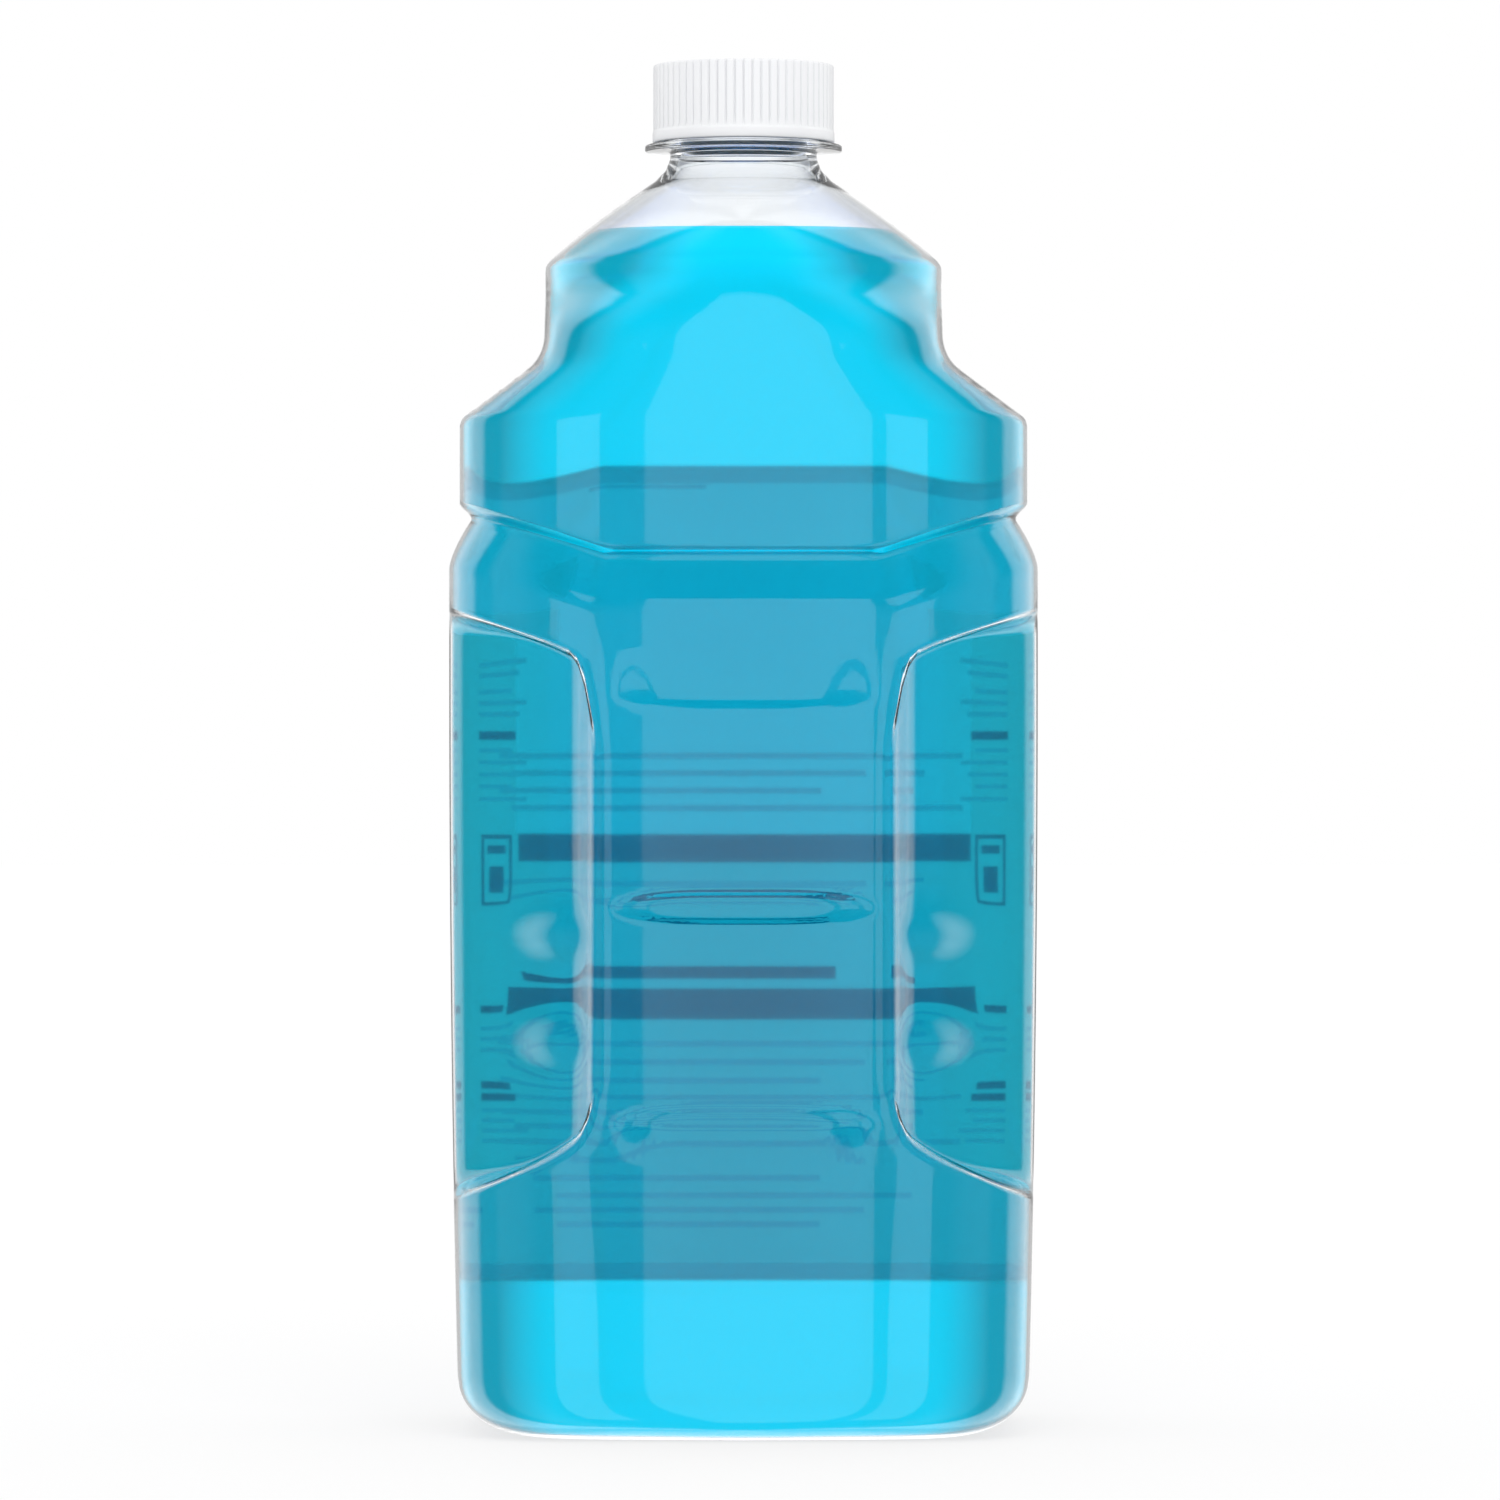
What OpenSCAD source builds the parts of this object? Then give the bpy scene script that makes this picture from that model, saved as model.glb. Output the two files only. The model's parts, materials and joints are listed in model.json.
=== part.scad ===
// Two-litre refill bottle of household cleaner: clear blow-moulded PET with hand grips
// moulded into its back corners, cyan liquid inside, white ribbed screw cap, front label.
// Millimetres, +Z up. The back with the grips faces -Y and the label faces +Y.

/* [Body] */
// Width across the sides where the body is widest
body_w = 119.8; // [108:0.2:134]
// Depth from the back panel to the front panel
body_d = 84; // [76:0.2:92]
// How square the plan of the body is: 2 is an ellipse, 8 is nearly a box
squareness = 5; // [3.5:0.1:7]
// Height at which the body is widest
widest_z = 150; // [120:1:165]
// How much each side draws in from the widest height down to the base
side_taper = 2; // [0:0.1:5]
// How much each side draws in from the widest height up to the ring groove
top_taper = 0.1; // [0:0.1:2]
// How much the back and front draw in from the widest height down to the base
face_taper = 1.6; // [0:0.1:4]
// Wall of the blown body
wall = 0.8; // [0.6:0.05:1.1]

/* [Base] */
// Height of the rounding between the sides and the standing ring
base_round_h = 13; // [9:0.5:16]
// How far the rounding runs in at the sides
base_round_w = 20; // [12:0.5:24]
// How far the rounding runs in at the back and front
base_round_d = 10; // [7:0.5:14]
// Height of the pushed-up dome inside the standing ring
push_up = 5; // [2:0.25:9]

/* [Ring groove] */
// Height of the groove's sharp upper edge at the middle of the sides
groove_z = 189.6; // [170:0.2:205]
// Fall of the groove round the back corners and rise round the front ones, for each millimetre of width
groove_fall = 0.29; // [0.1:0.01:0.33]
// How far the band above the groove stands in from the body
band_inset = 2.1; // [1:0.1:3]
// Depth of the groove below the band
groove_depth = 2.4; // [1:0.1:3]
// Height of the hollow of the groove
groove_h = 4; // [3:0.1:6]
// Height of the slope below the groove
bevel_h = 10; // [8:0.5:12]

/* [Shoulder] */
// Height of the upright band above the groove
band_h = 15; // [12:0.2:18]
// How far the round block under the neck stands in from the back and front panels
block_inset = 1.4; // [0:0.1:4]
// Height from the top of the band to the rim of the block
block_h = 33.1; // [30:0.1:39]
// Radius of the long bend between the back panel and the shoulder cone
dome_r = 35; // [25:0.5:42]
// Run of the shoulder cone for each millimetre of its height
cone_slope = 1.3; // [1.2:0.02:1.4]
// How far the flank of the cone swells
cone_swell = 1; // [0:0.1:2]

/* [Grips] */
// Half width of the back panel between the two grip recesses
grip_half_w = 30; // [27:0.5:34]
// Depth of the wall on which the fingers close
grip_wall = 9; // [6:0.5:12]
// How far that wall leans out towards the side
wall_run = 3.5; // [1.5:0.25:5]
// Distance of the recess roof below the ring groove, at the sides
grip_drop = 25; // [21:0.1:31]
// Height of the lower lip of the recess, at the sides
grip_low_z = 51.2; // [46:0.2:56]
// Fall of the roof towards the back panel, for each millimetre of width
roof_fall = 0.31; // [0.15:0.01:0.36]
// Rise of the lower lip towards the back panel, for each millimetre of width
lip_rise = 0.42; // [0.2:0.01:0.5]
// Height of the two finger bumps in each recess
bump_h = 4; // [1:0.1:4.5]
// Distance between the two finger bumps
bump_pitch = 21.5; // [19:0.2:26]

/* [Back grooves] */
// Depth of the three stiffening grooves across the back panel
stiff_depth = 1.2; // [0.4:0.05:1.4]
// Distance from the end of a stiffening groove to the edge of the back panel
stiff_end = 3.5; // [2:0.5:9]
// Height of each stiffening groove
stiff_h = 7; // [5:0.2:8]
// Spacing of the stiffening grooves as a share of half the height of the recess at the sides
stiff_share = 0.765; // [0.7:0.005:0.8]

/* [Neck] */
// Outer radius of the screw neck inside the cap, at the root of its thread
finish_r = 15.7; // [14:0.1:18]
// Wall of the screw neck
finish_wall = 2.5; // [2:0.1:3]
// How far the neck below the support ring stands in from the screw neck
neck_step = 0.7; // [0:0.1:0.9]
// How far the support ring stands out beyond the cap
ring_lip = 1.7; // [0.8:0.1:3]
// Thickness of the support ring at its edge
ring_t = 1.4; // [0.8:0.1:2]
// Height of the screw neck from the support ring to the mouth
finish_h = 13.9; // [12:0.1:17]

/* [Cap] */
// Room for the thread between the screw neck and the skirt of the cap
thread_room = 1.55; // [1.3:0.05:1.8]
// Wall of the cap skirt
cap_wall = 1.25; // [1:0.05:1.4]
// Thickness of the cap top
cap_top_t = 1.5; // [1:0.1:2.2]
// Number of fine finger grooves round the skirt
rib_count = 64; // [40:4:80]
// Depth of a finger groove
rib_depth = 0.35; // [0.2:0.05:0.5]
// Width of a finger groove
rib_w = 0.5; // [0.3:0.05:0.7]
// Height of the plain bead at the foot of the skirt
bead_h = 2.4; // [1.5:0.1:3.5]
// Thickness of the sealing disc in the cap
liner_t = 1; // [0.6:0.1:1.6]

/* [Contents] */
// Height of the liquid level above the rim of the block
fill_rise = 6.3; // [1:0.1:10]
// Film of clearance between the liquid and the wall
fill_gap = 0.08; // [0.04:0.01:0.2]

/* [Label] */
// Thickness of the label film
label_t = 0.16; // [0.1:0.01:0.3]
// Height of the lower edge of the label
label_low_z = 29; // [26:0.5:34]
// Depth of the moulded panel that the label lies in
panel_depth = 0.6; // [0.3:0.05:1]
// Height of the slope at the lower edge of that panel
panel_slope = 4; // [2:0.5:6]

/* [Hidden] */
half_w = body_w / 2;
half_d = body_d / 2;
// columns round the plan, drawn together at the four corners
columns = 40;
corner_pull = 6;
function lean(u) = u + corner_pull * sin(4 * u);
phi_of = [for (i = [0 : columns - 1]) lean(360 * i / columns)];
widest_step = lean(360 / columns);

// heights are stacked up from the ring groove
sweep_z = groove_z + band_h;
rim_z = sweep_z + block_h;
fill_z = rim_z + fill_rise;
grip_top_z = groove_z - grip_drop;

// the neck and the cap take their radii from the screw neck
neck_r = finish_r - neck_step;
bore_r = finish_r - finish_wall;
cap_bore_r = finish_r + thread_room;
cap_r = cap_bore_r + cap_wall;
ring_r = cap_r + ring_lip;

// the sweep of the sides: tight bend, straight run, hollow bend, all in proportion to its overhang
band_half_w = half_w - top_taper - band_inset;
band_half_d = half_d - band_inset;
block_r = half_d - block_inset;
overhang = band_half_w - block_r;
edge_r = 0.145 * overhang;
bend_in_r = 0.523 * overhang;
sweep_angle = 53.5;
sweep_run = (overhang - (edge_r + bend_in_r) * (1 - cos(sweep_angle))) / tan(sweep_angle);
edge_top = sweep_z + edge_r * sin(sweep_angle);
bend_in_low = edge_top + sweep_run;
bend_in_top = bend_in_low + bend_in_r * sin(sweep_angle);
// the plan turns from square to round between these two levels
turn_low = 0.3 * bend_in_low + 0.7 * bend_in_top;
turn_top = 0.3 * bend_in_top + 0.7 * rim_z;

// the shoulder cone and the hollow fillet under the neck
rim_r = block_r + 0.3;
cone_angle = atan(cone_slope);
fillet_r = 7;
dome_low = rim_z - (dome_r * (1 - cos(cone_angle)) - (rim_r - band_half_d) * cos(cone_angle)) / sin(cone_angle);
dome_top = dome_low + dome_r * sin(cone_angle);
cone_top = rim_z + (rim_r - neck_r - fillet_r * (1 - cos(cone_angle))) / cone_slope;
fillet_top = cone_top + fillet_r * sin(cone_angle);
blown_top = fillet_top - 1.5;
ring_low = fillet_top + 0.2;
ring_top = ring_low + ring_t;
skirt_z = ring_top + 0.45;
mouth_z = ring_top + finish_h;
roof_z = mouth_z + liner_t;
cap_top = roof_z + cap_top_t;

// grips and stiffening grooves share a middle height
grip_mid = (grip_top_z + grip_low_z) / 2;
grip_half_h = (grip_top_z - grip_low_z) / 2;
lip_foot = base_round_h * 5 / 3;
roof_soft = 1.6;
lip_soft = 1.8;
// the roof and the lip turn into the finger wall within this width, by these drops
turn_w = 6.5;
roof_bend = 14;
lip_bend = 6;
stiff_heights = [for (k = [-1 : 1]) grip_mid - 0.6 + k * stiff_share * grip_half_h];
stiff_len = 2 * (grip_half_w - stiff_end);
bump_low = grip_mid - 0.494 * grip_half_h;
bump_heights = [bump_low, bump_low + bump_pitch];
bump_soft = 5.5;

// the label panel on the front
groove_floor = groove_z - groove_h;
groove_lip = groove_floor - bevel_h;
panel_edge = lean(11 * 360 / columns);
panel_in = lean(12 * 360 / columns);
front_in = lean(13 * 360 / columns);

function unit_part(t) = max(0, min(1, t));
function ease(t) = let (c = unit_part(t)) c * c * (3 - 2 * c);
function soft_max(p, q, k) = max(p, q) + pow(max(k - abs(p - q), 0), 2) / (4 * k);
function soft_min(p, q, k) = -soft_max(-p, -q, k);
// squared-off ellipse seen from its middle
function plan_r(s, c, a, b, n) = pow(pow(s / a, n) + pow(c / b, n), -1 / n);
function round_drop(q) = 1 - sqrt(max(0, 1 - q * q));
// squarer than a circle, so that the standing ring lies well inside the sides
function base_drop(q) = 1 - pow(max(0, 1 - q * q * q), 1 / 3);

// half width of the sides from the band up to the rim
function sweep_half_w(v) =
    v < sweep_z ? band_half_w :
    v < edge_top ? band_half_w - edge_r * round_drop((v - sweep_z) / edge_r) :
    v < bend_in_low ? band_half_w - edge_r * (1 - cos(sweep_angle)) - (v - edge_top) * tan(sweep_angle) :
    v < bend_in_top ? block_r + bend_in_r * round_drop((bend_in_top - v) / bend_in_r) :
    block_r;

// slight outward swell of the shoulder cone halfway up
function flank_swell(v) =
    let (q = unit_part((v - rim_z) / (cone_top - rim_z)))
    4 * cone_swell * q * (1 - q);

// radius of the shoulder cone with its fillet into the neck
function cone_r(v) =
    v < cone_top ? rim_r - (v - rim_z) * cone_slope + flank_swell(v) :
    neck_r + fillet_r * round_drop(unit_part((fillet_top - v) / fillet_r));

// how far the ring groove and the band stand in from the body
function groove_inset(v) =
    v >= groove_z ? band_inset :
    v > groove_floor ?
        band_inset + groove_depth * sqrt(max(0, 1 - pow((v - groove_floor) / groove_h, 2))) :
    (band_inset + groove_depth) * pow(unit_part((v - groove_lip) / bevel_h), 2);

// the groove dies out into the label panel on the front
function band_drop(phi, v) =
    let (
        side = phi > 180 ? 360 - phi : phi,
        front = ease((side - panel_in) / (front_in - panel_in))
    )
    groove_inset(v) * (1 - front) + band_inset * ease((v - groove_lip) / (groove_z - groove_lip)) * front;
function side_half_w(v) =
    half_w - side_taper * pow(unit_part((widest_z - v) / widest_z), 2)
    - top_taper * pow(unit_part((v - widest_z) / (0.8 * widest_z)), 2);
function face_half_d(v) =
    half_d - face_taper * pow(unit_part((widest_z - v) / widest_z), 2);
// half depth of the shoulder: upright, then a long bend into the cone
function dome_half_d(v) =
    v < dome_low ? band_half_d :
    v < dome_top ? band_half_d - dome_r * round_drop((v - dome_low) / dome_r) + flank_swell(v) :
    cone_r(v);
function plan_power(v) =
    squareness - (squareness - 2.5) * ease((v - turn_low) / (turn_top - turn_low))
    - 0.5 * ease((v - rim_z) / (cone_top - rim_z));

// outer radius of the plain body at angle phi from the back and level v
function plain_r(phi, v) =
    let (s = abs(sin(phi)), c = abs(cos(phi)), n = plan_power(v))
    v > rim_z ? plan_r(s, c, cone_r(v), min(cone_r(v), dome_half_d(v)), n) :
    v > sweep_z ? plan_r(s, c, sweep_half_w(v), dome_half_d(v), n) :
    let (q = unit_part((base_round_h - v) / base_round_h), drop = band_drop(phi, v))
    plan_r(s, c, side_half_w(v) - drop, face_half_d(v) - drop, n)
    - (base_round_w * s * s + base_round_d * c * c) * base_drop(q);

// radius of the grip recess: finger wall beside the back panel, then a floor out to the side
foot_x = grip_half_w + wall_run;
foot_y = half_d - grip_wall;
floor_lean = [foot_y - half_d / 3, half_w - foot_x];
floor_n = floor_lean / norm(floor_lean);
wall_n = [grip_wall, wall_run] / norm([grip_wall, wall_run]);
function grip_r(s, c, z) =
    let (
        wall_r = wall_n * [grip_half_w, half_d] / max(0.01, wall_n * [s, c]),
        floor_r = floor_n * [foot_x, foot_y] / max(0.01, floor_n * [s, c]),
        fade = 1 - ease((atan2(s, c) - 48) / 20),
        swell = exp(-pow((z - bump_heights[0]) / bump_soft, 2)) + exp(-pow((z - bump_heights[1]) / bump_soft, 2))
    )
    soft_max(floor_r + bump_h * fade * swell, wall_r, 3);
function grip_mask(v) =
    ease((grip_top_z + roof_soft - v) / (2 * roof_soft)) * ease((v - grip_low_z + lip_soft) / (2 * lip_soft));
function stiff_cut(x, z, k) =
    ease(1.3 * (1 - pow(2 * (z - stiff_heights[k]) / stiff_h, 2) - pow(2 * x / stiff_len, 4)));
function panel_mask(phi, v) =
    let (side = abs(phi > 180 ? 360 - phi : phi))
    ease((side - panel_edge) / (panel_in - panel_edge)) * ease((v - label_low_z + panel_slope) / panel_slope)
    * (v > groove_floor ? 1 - ease((v - groove_floor) / groove_h) : 1);

// levels bend, so that the rows run along the roof and lip of the grips and along the ring groove
function level_z(phi, v) =
    let (
        reach = plan_r(abs(sin(phi)), abs(cos(phi)), half_w, half_d, squareness),
        x = max(grip_half_w, reach * abs(sin(phi))),
        y = -cos(phi) * reach,
        bend = pow(unit_part(1 - (x - grip_half_w) / turn_w), 2),
        lip = lookup(v, [[lip_foot, 0], [grip_low_z, 1], [grip_mid, 0]]),
        roof = lookup(v, [[grip_mid, 0], [grip_top_z, 1], [groove_lip, 0]]),
        back = lookup(v, [[grip_top_z, 0], [groove_lip, 1], [groove_z, 1], [sweep_z, 0]]),
        front = lookup(v, [[grip_top_z - 2 * bevel_h, 0], [groove_lip, 1], [groove_z, 1], [sweep_z, 0]])
    )
    y > 0 ? v + front * groove_fall * (half_w - x) :
    v - back * groove_fall * (half_w - x) + lip * (lip_rise * (half_w - x) + lip_bend * bend)
    - roof * (roof_fall * (half_w - x) + roof_bend * bend);

// outer radius with grips, stiffening grooves and label panel
function skin_r(phi, v) =
    let (plain = plain_r(phi, v), s = abs(sin(phi)), c = cos(phi))
    c <= 0 ? plain - panel_depth * panel_mask(phi, v) :
    v > groove_floor ? plain :
    let (
        z = level_z(phi, v),
        gripped = plain - grip_mask(v) * (plain - soft_min(plain, grip_r(s, c, z), 2.5)),
        x = gripped * s,
        cut = stiff_cut(x, z, 0) + stiff_cut(x, z, 1) + stiff_cut(x, z, 2)
    )
    gripped - stiff_depth * cut / max(c, 0.5);
function skin_point(phi, v, out = 0) =
    let (r = skin_r(phi, v) + out)
    [r * sin(phi), -r * cos(phi), level_z(phi, v)];

// rows of levels from the standing ring up to the neck
function sorted(a) =
    len(a) < 2 ? a :
    let (p = a[floor(len(a) / 2)])
    concat(sorted([for (e = a) if (e < p) e]), [p], sorted([for (e = a) if (e > p) e]));
// levels at which a height is reached on the back panel and in a recess
function panel_level(z) =
    let (
        at = [for (v = [lip_foot, grip_low_z, grip_mid, grip_top_z, groove_lip]) [level_z(0, v), v]]
    )
    lookup(z, at);
bump_shift = lip_rise * 0.54 * (half_w - grip_half_w) / grip_half_h;
function bump_level(z) = (z - bump_shift * grip_mid) / (1 - bump_shift);
bump_levels = [for (z = bump_heights) bump_level(z)];
stiff_rows = [for (z = stiff_heights) for (k = [-1 : 1]) panel_level(z + k * stiff_h / 2)];
levels = sorted(concat(
    [for (w = [0, 12, 24, 46, 68, 90]) base_round_h * (1 - cos(w))],
    [label_low_z - panel_slope, label_low_z],
    [stiff_rows[0], stiff_rows[1], stiff_rows[2], grip_low_z + lip_soft],
    [for (k = [-1 : 1]) bump_levels[0] + k * 5],
    [(bump_levels[0] + bump_levels[1]) / 2],
    [bump_levels[1] - 5, bump_levels[1], stiff_rows[4], stiff_rows[5]],
    [for (k = [1 : 3]) stiff_rows[5] + k * (grip_top_z - roof_soft - stiff_rows[5]) / 3],
    [stiff_rows[6], stiff_rows[7], stiff_rows[8]],
    [groove_lip, groove_lip + 0.4 * bevel_h, groove_lip + 0.74 * bevel_h, groove_floor],
    [groove_z - 0.35 * groove_h, groove_z - 0.05 * groove_h, groove_z],
    [sweep_z, (sweep_z + edge_top) / 2, edge_top, (edge_top + bend_in_low) / 2],
    [for (k = [0 : 3]) bend_in_low + (bend_in_top - bend_in_low) * k / 3],
    [for (k = [1 : 3]) bend_in_top + (rim_z - bend_in_top) * k / 3],
    [for (k = [1 : 4]) rim_z + k * (cone_top - rim_z) / 4],
    [(cone_top + blown_top) / 2, blown_top]
));
// the standing ring and the dome are the lowest level drawn in towards the middle
ring_in = 0.86;
base_shares = [0.34, 0.66, ring_in];
function base_point(phi, f) =
    let (p = skin_point(phi, 0))
    [p[0] * f, p[1] * f, push_up * (1 - pow(f / ring_in, 2))];
skin = concat(
    [for (f = base_shares) [for (phi = phi_of) base_point(phi, f)]],
    [for (v = levels) [for (phi = phi_of) skin_point(phi, v)]]
);
row_count = len(skin);
base_rows = len(base_shares);

// the wall thickens into the neck
neck_wall = cone_r(blown_top) - bore_r / cos(widest_step / 2) - 0.05;
function wall_at(j) =
    j < base_rows ? wall :
    wall + (neck_wall - wall) * ease((levels[j - base_rows] - cone_top + 7) / (blown_top - cone_top + 7));
function wrap(i) = (i + columns) % columns;
function outward(g, j, i) =
    let (
        along = g[j][wrap(i + 1)] - g[j][wrap(i - 1)],
        up = g[min(j + 1, row_count - 1)][i] - g[max(j - 1, 0)][i],
        n = cross(along, up)
    )
    n / norm(n);
function drawn_in(extra) = [
    for (j = [0 : row_count - 1]) [
        for (i = [0 : columns - 1]) skin[j][i] - (wall_at(j) + extra) * outward(skin, j, i)
    ]
];

// closes a stack of rows into a solid with a pointed dome below and a flat top
module closed_rows(rows, dome_z) {
    n = len(rows);
    points = concat([for (row = rows) each row], [[0, 0, dome_z]]);
    foot = n * columns;
    faces = concat(
        [for (i = [0 : columns - 1]) [foot, i, wrap(i + 1)]],
        [for (j = [0 : n - 2]) for (i = [0 : columns - 1]) each
            let (p = j * columns + i, q = j * columns + wrap(i + 1))
            [[p, q + columns, q], [p, p + columns, q + columns]]],
        [[for (i = [0 : columns - 1]) (n - 1) * columns + columns - 1 - i]]
    );
    polyhedron(points = points, faces = faces, convexity = 6);
}

// screw neck with its support ring, turned as one profile
module neck_profile() {
    polygon([
        [0, blown_top - 2],
        [neck_r, blown_top - 2],
        [neck_r, ring_low - 0.5],
        [neck_r + 0.8, ring_low],
        [ring_r - 0.3, ring_low],
        [ring_r, ring_low + 0.3],
        [ring_r, ring_top - 0.3],
        [ring_r - 0.3, ring_top],
        [finish_r + 0.6, ring_top],
        [finish_r, ring_top + 0.6],
        [finish_r, mouth_z - 0.6],
        [finish_r - 0.6, mouth_z],
        [0, mouth_z]
    ]);
}

module bottle() {
    color([0.86, 0.92, 0.95, 0.35])
    difference() {
        union() {
            closed_rows(skin, push_up);
            rotate_extrude($fn = 96) neck_profile();
        }
        closed_rows(drawn_in(0), push_up + wall);
        translate([0, 0, blown_top - 2]) cylinder(h = mouth_z - blown_top + 3, r = bore_r, $fn = 96);
    }
}

module liquid() {
    color([0, 0.75, 0.9, 0.7])
    intersection() {
        closed_rows(drawn_in(fill_gap), push_up + wall + fill_gap);
        translate([-body_w, -body_w, 0]) cube([2 * body_w, 2 * body_w, fill_z]);
    }
}

module cap() {
    edge = rib_depth * 0.7;
    color([0.96, 0.96, 0.97])
    difference() {
        rotate_extrude($fn = 128)
        polygon([
            [0, roof_z],
            [cap_bore_r, roof_z],
            [cap_bore_r, skirt_z + 0.4],
            [cap_bore_r + 0.3, skirt_z],
            [cap_r - 0.05, skirt_z],
            [cap_r + 0.15, skirt_z + 0.3],
            [cap_r + 0.15, skirt_z + bead_h - 0.3],
            [cap_r, skirt_z + bead_h],
            [cap_r, cap_top - edge],
            [cap_r - edge, cap_top],
            [0, cap_top]
        ]);
        for (k = [0 : rib_count - 1])
            rotate([0, 0, 360 * (k + 0.5) / rib_count])
            translate([cap_r - rib_depth, -rib_w / 2, skirt_z + bead_h + 0.3])
            cube([3, rib_w, cap_top]);
    }
}

module cap_liner() {
    color([0.9, 0.9, 0.88])
    translate([0, 0, mouth_z]) cylinder(h = liner_t, r = cap_bore_r - 0.35, $fn = 96);
}

// the film follows the moulded panel a hair off its surface
label_levels = [for (v = levels) if (v >= label_low_z - 0.01 && v < groove_z - 0.01) v];
label_phis = [for (phi = phi_of) if (phi > panel_in - 0.01 && phi < 360 - panel_in + 0.01) phi];
module label() {
    rise = len(label_levels);
    span = len(label_phis);
    glue = 0.04;
    inner = [for (v = label_levels) for (phi = label_phis) skin_point(phi, v, glue)];
    outer = [for (v = label_levels) for (phi = label_phis) skin_point(phi, v, glue + label_t)];
    far = rise * span;
    function at(j, i) = j * span + i;
    faces = concat(
        [for (j = [0 : rise - 2]) for (i = [0 : span - 2]) each [
            [far + at(j, i), far + at(j + 1, i + 1), far + at(j, i + 1)],
            [far + at(j, i), far + at(j + 1, i), far + at(j + 1, i + 1)],
            [at(j, i), at(j, i + 1), at(j + 1, i + 1)],
            [at(j, i), at(j + 1, i + 1), at(j + 1, i)]
        ]],
        [for (i = [0 : span - 2]) each [
            [at(0, i), far + at(0, i + 1), at(0, i + 1)],
            [at(0, i), far + at(0, i), far + at(0, i + 1)],
            [at(rise - 1, i), at(rise - 1, i + 1), far + at(rise - 1, i + 1)],
            [at(rise - 1, i), far + at(rise - 1, i + 1), far + at(rise - 1, i)]
        ]],
        [for (j = [0 : rise - 2]) each [
            [at(j, 0), at(j + 1, 0), far + at(j + 1, 0)],
            [at(j, 0), far + at(j + 1, 0), far + at(j, 0)],
            [at(j, span - 1), far + at(j + 1, span - 1), at(j + 1, span - 1)],
            [at(j, span - 1), far + at(j, span - 1), far + at(j + 1, span - 1)]
        ]]
    );
    color([0.1, 0.35, 0.7])
    polyhedron(points = concat(inner, outer), faces = faces, convexity = 4);
}

bottle();
liquid();
cap();
cap_liner();
label();
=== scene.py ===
# %% [markdown]
# # A clear refill bottle of cyan household cleaner
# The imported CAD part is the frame: its sizes, its place and its moving bodies stay as they are. This
# lesson builds the looks around it. The bottle is seen from its back, so nearly everything in the
# picture is light that has passed through PET and liquid. Smooth, fine surfaces matter more here than
# any texture.

# %% Load the frame and keep its box
import json
import math

import bpy
import numpy as np
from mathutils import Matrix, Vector

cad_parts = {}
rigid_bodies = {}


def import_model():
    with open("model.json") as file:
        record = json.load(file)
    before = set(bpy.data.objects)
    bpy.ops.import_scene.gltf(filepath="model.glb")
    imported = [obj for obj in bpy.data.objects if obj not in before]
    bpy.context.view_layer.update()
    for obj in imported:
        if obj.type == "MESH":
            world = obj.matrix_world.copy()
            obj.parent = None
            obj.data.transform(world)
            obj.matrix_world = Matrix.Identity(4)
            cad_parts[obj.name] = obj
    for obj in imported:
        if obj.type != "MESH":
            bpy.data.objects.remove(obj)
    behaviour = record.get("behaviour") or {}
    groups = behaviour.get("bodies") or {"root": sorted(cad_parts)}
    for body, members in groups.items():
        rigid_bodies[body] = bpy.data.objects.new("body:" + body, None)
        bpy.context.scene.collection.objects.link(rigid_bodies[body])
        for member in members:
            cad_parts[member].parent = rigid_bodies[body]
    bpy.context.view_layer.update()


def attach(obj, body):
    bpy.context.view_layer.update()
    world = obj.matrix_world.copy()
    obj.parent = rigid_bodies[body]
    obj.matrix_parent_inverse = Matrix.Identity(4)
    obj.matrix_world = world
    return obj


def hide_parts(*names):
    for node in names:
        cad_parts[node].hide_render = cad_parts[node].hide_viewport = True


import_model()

MM = 0.001

# %% [markdown]
# ## Small tools
# Colours are written as sRGB hex and turned to linear light once. One function adds a shader node with
# its settings and links. One function turns a stack of rows of points into a closed mesh. Modifiers
# could round and thicken simple shapes instead, but every piece of this pack is a skin wrapped round an
# upright axis, and rows that are worked out give full control over how evenly it bends light.


# %% Colours, nodes and materials
def linear(hex_colour):
    """sRGB hex to linear RGBA."""
    parts = [int(hex_colour[i : i + 2], 16) / 255 for i in (0, 2, 4)]
    return [c / 12.92 if c <= 0.04045 else ((c + 0.055) / 1.055) ** 2.4 for c in parts] + [1.0]


def add(tree, kind, settings=None, inputs=None):
    """Adds a node; a socket among the inputs is linked, anything else is set as a value."""
    node = tree.nodes.new(kind)
    for name, value in (settings or {}).items():
        setattr(node, name, value)
    for name, value in (inputs or {}).items():
        if isinstance(value, bpy.types.NodeSocket):
            tree.links.new(value, node.inputs[name])
        else:
            node.inputs[name].default_value = value
    return node


def material(name, **principled):
    """A material with one Principled shader; underscores in the names stand for spaces."""
    made = bpy.data.materials.new(name)
    made.use_nodes = True
    made.node_tree.nodes.clear()
    values = {socket.replace("_", " "): value for socket, value in principled.items()}
    shader = add(made.node_tree, "ShaderNodeBsdfPrincipled", None, values)
    add(made.node_tree, "ShaderNodeOutputMaterial", None, {"Surface": shader.outputs[0]})
    return made


def found(tree, kind):
    """The first node of a kind in a tree."""
    return next(node for node in tree.nodes if node.type == kind)


WHITE = linear("FFFFFF")
print("white in linear light:", WHITE)


# %% Meshes from rows of points
def placed(name, mesh):
    """An object for a mesh, put into the scene."""
    piece = bpy.data.objects.new(name, mesh)
    bpy.context.collection.objects.link(piece)
    return piece


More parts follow.
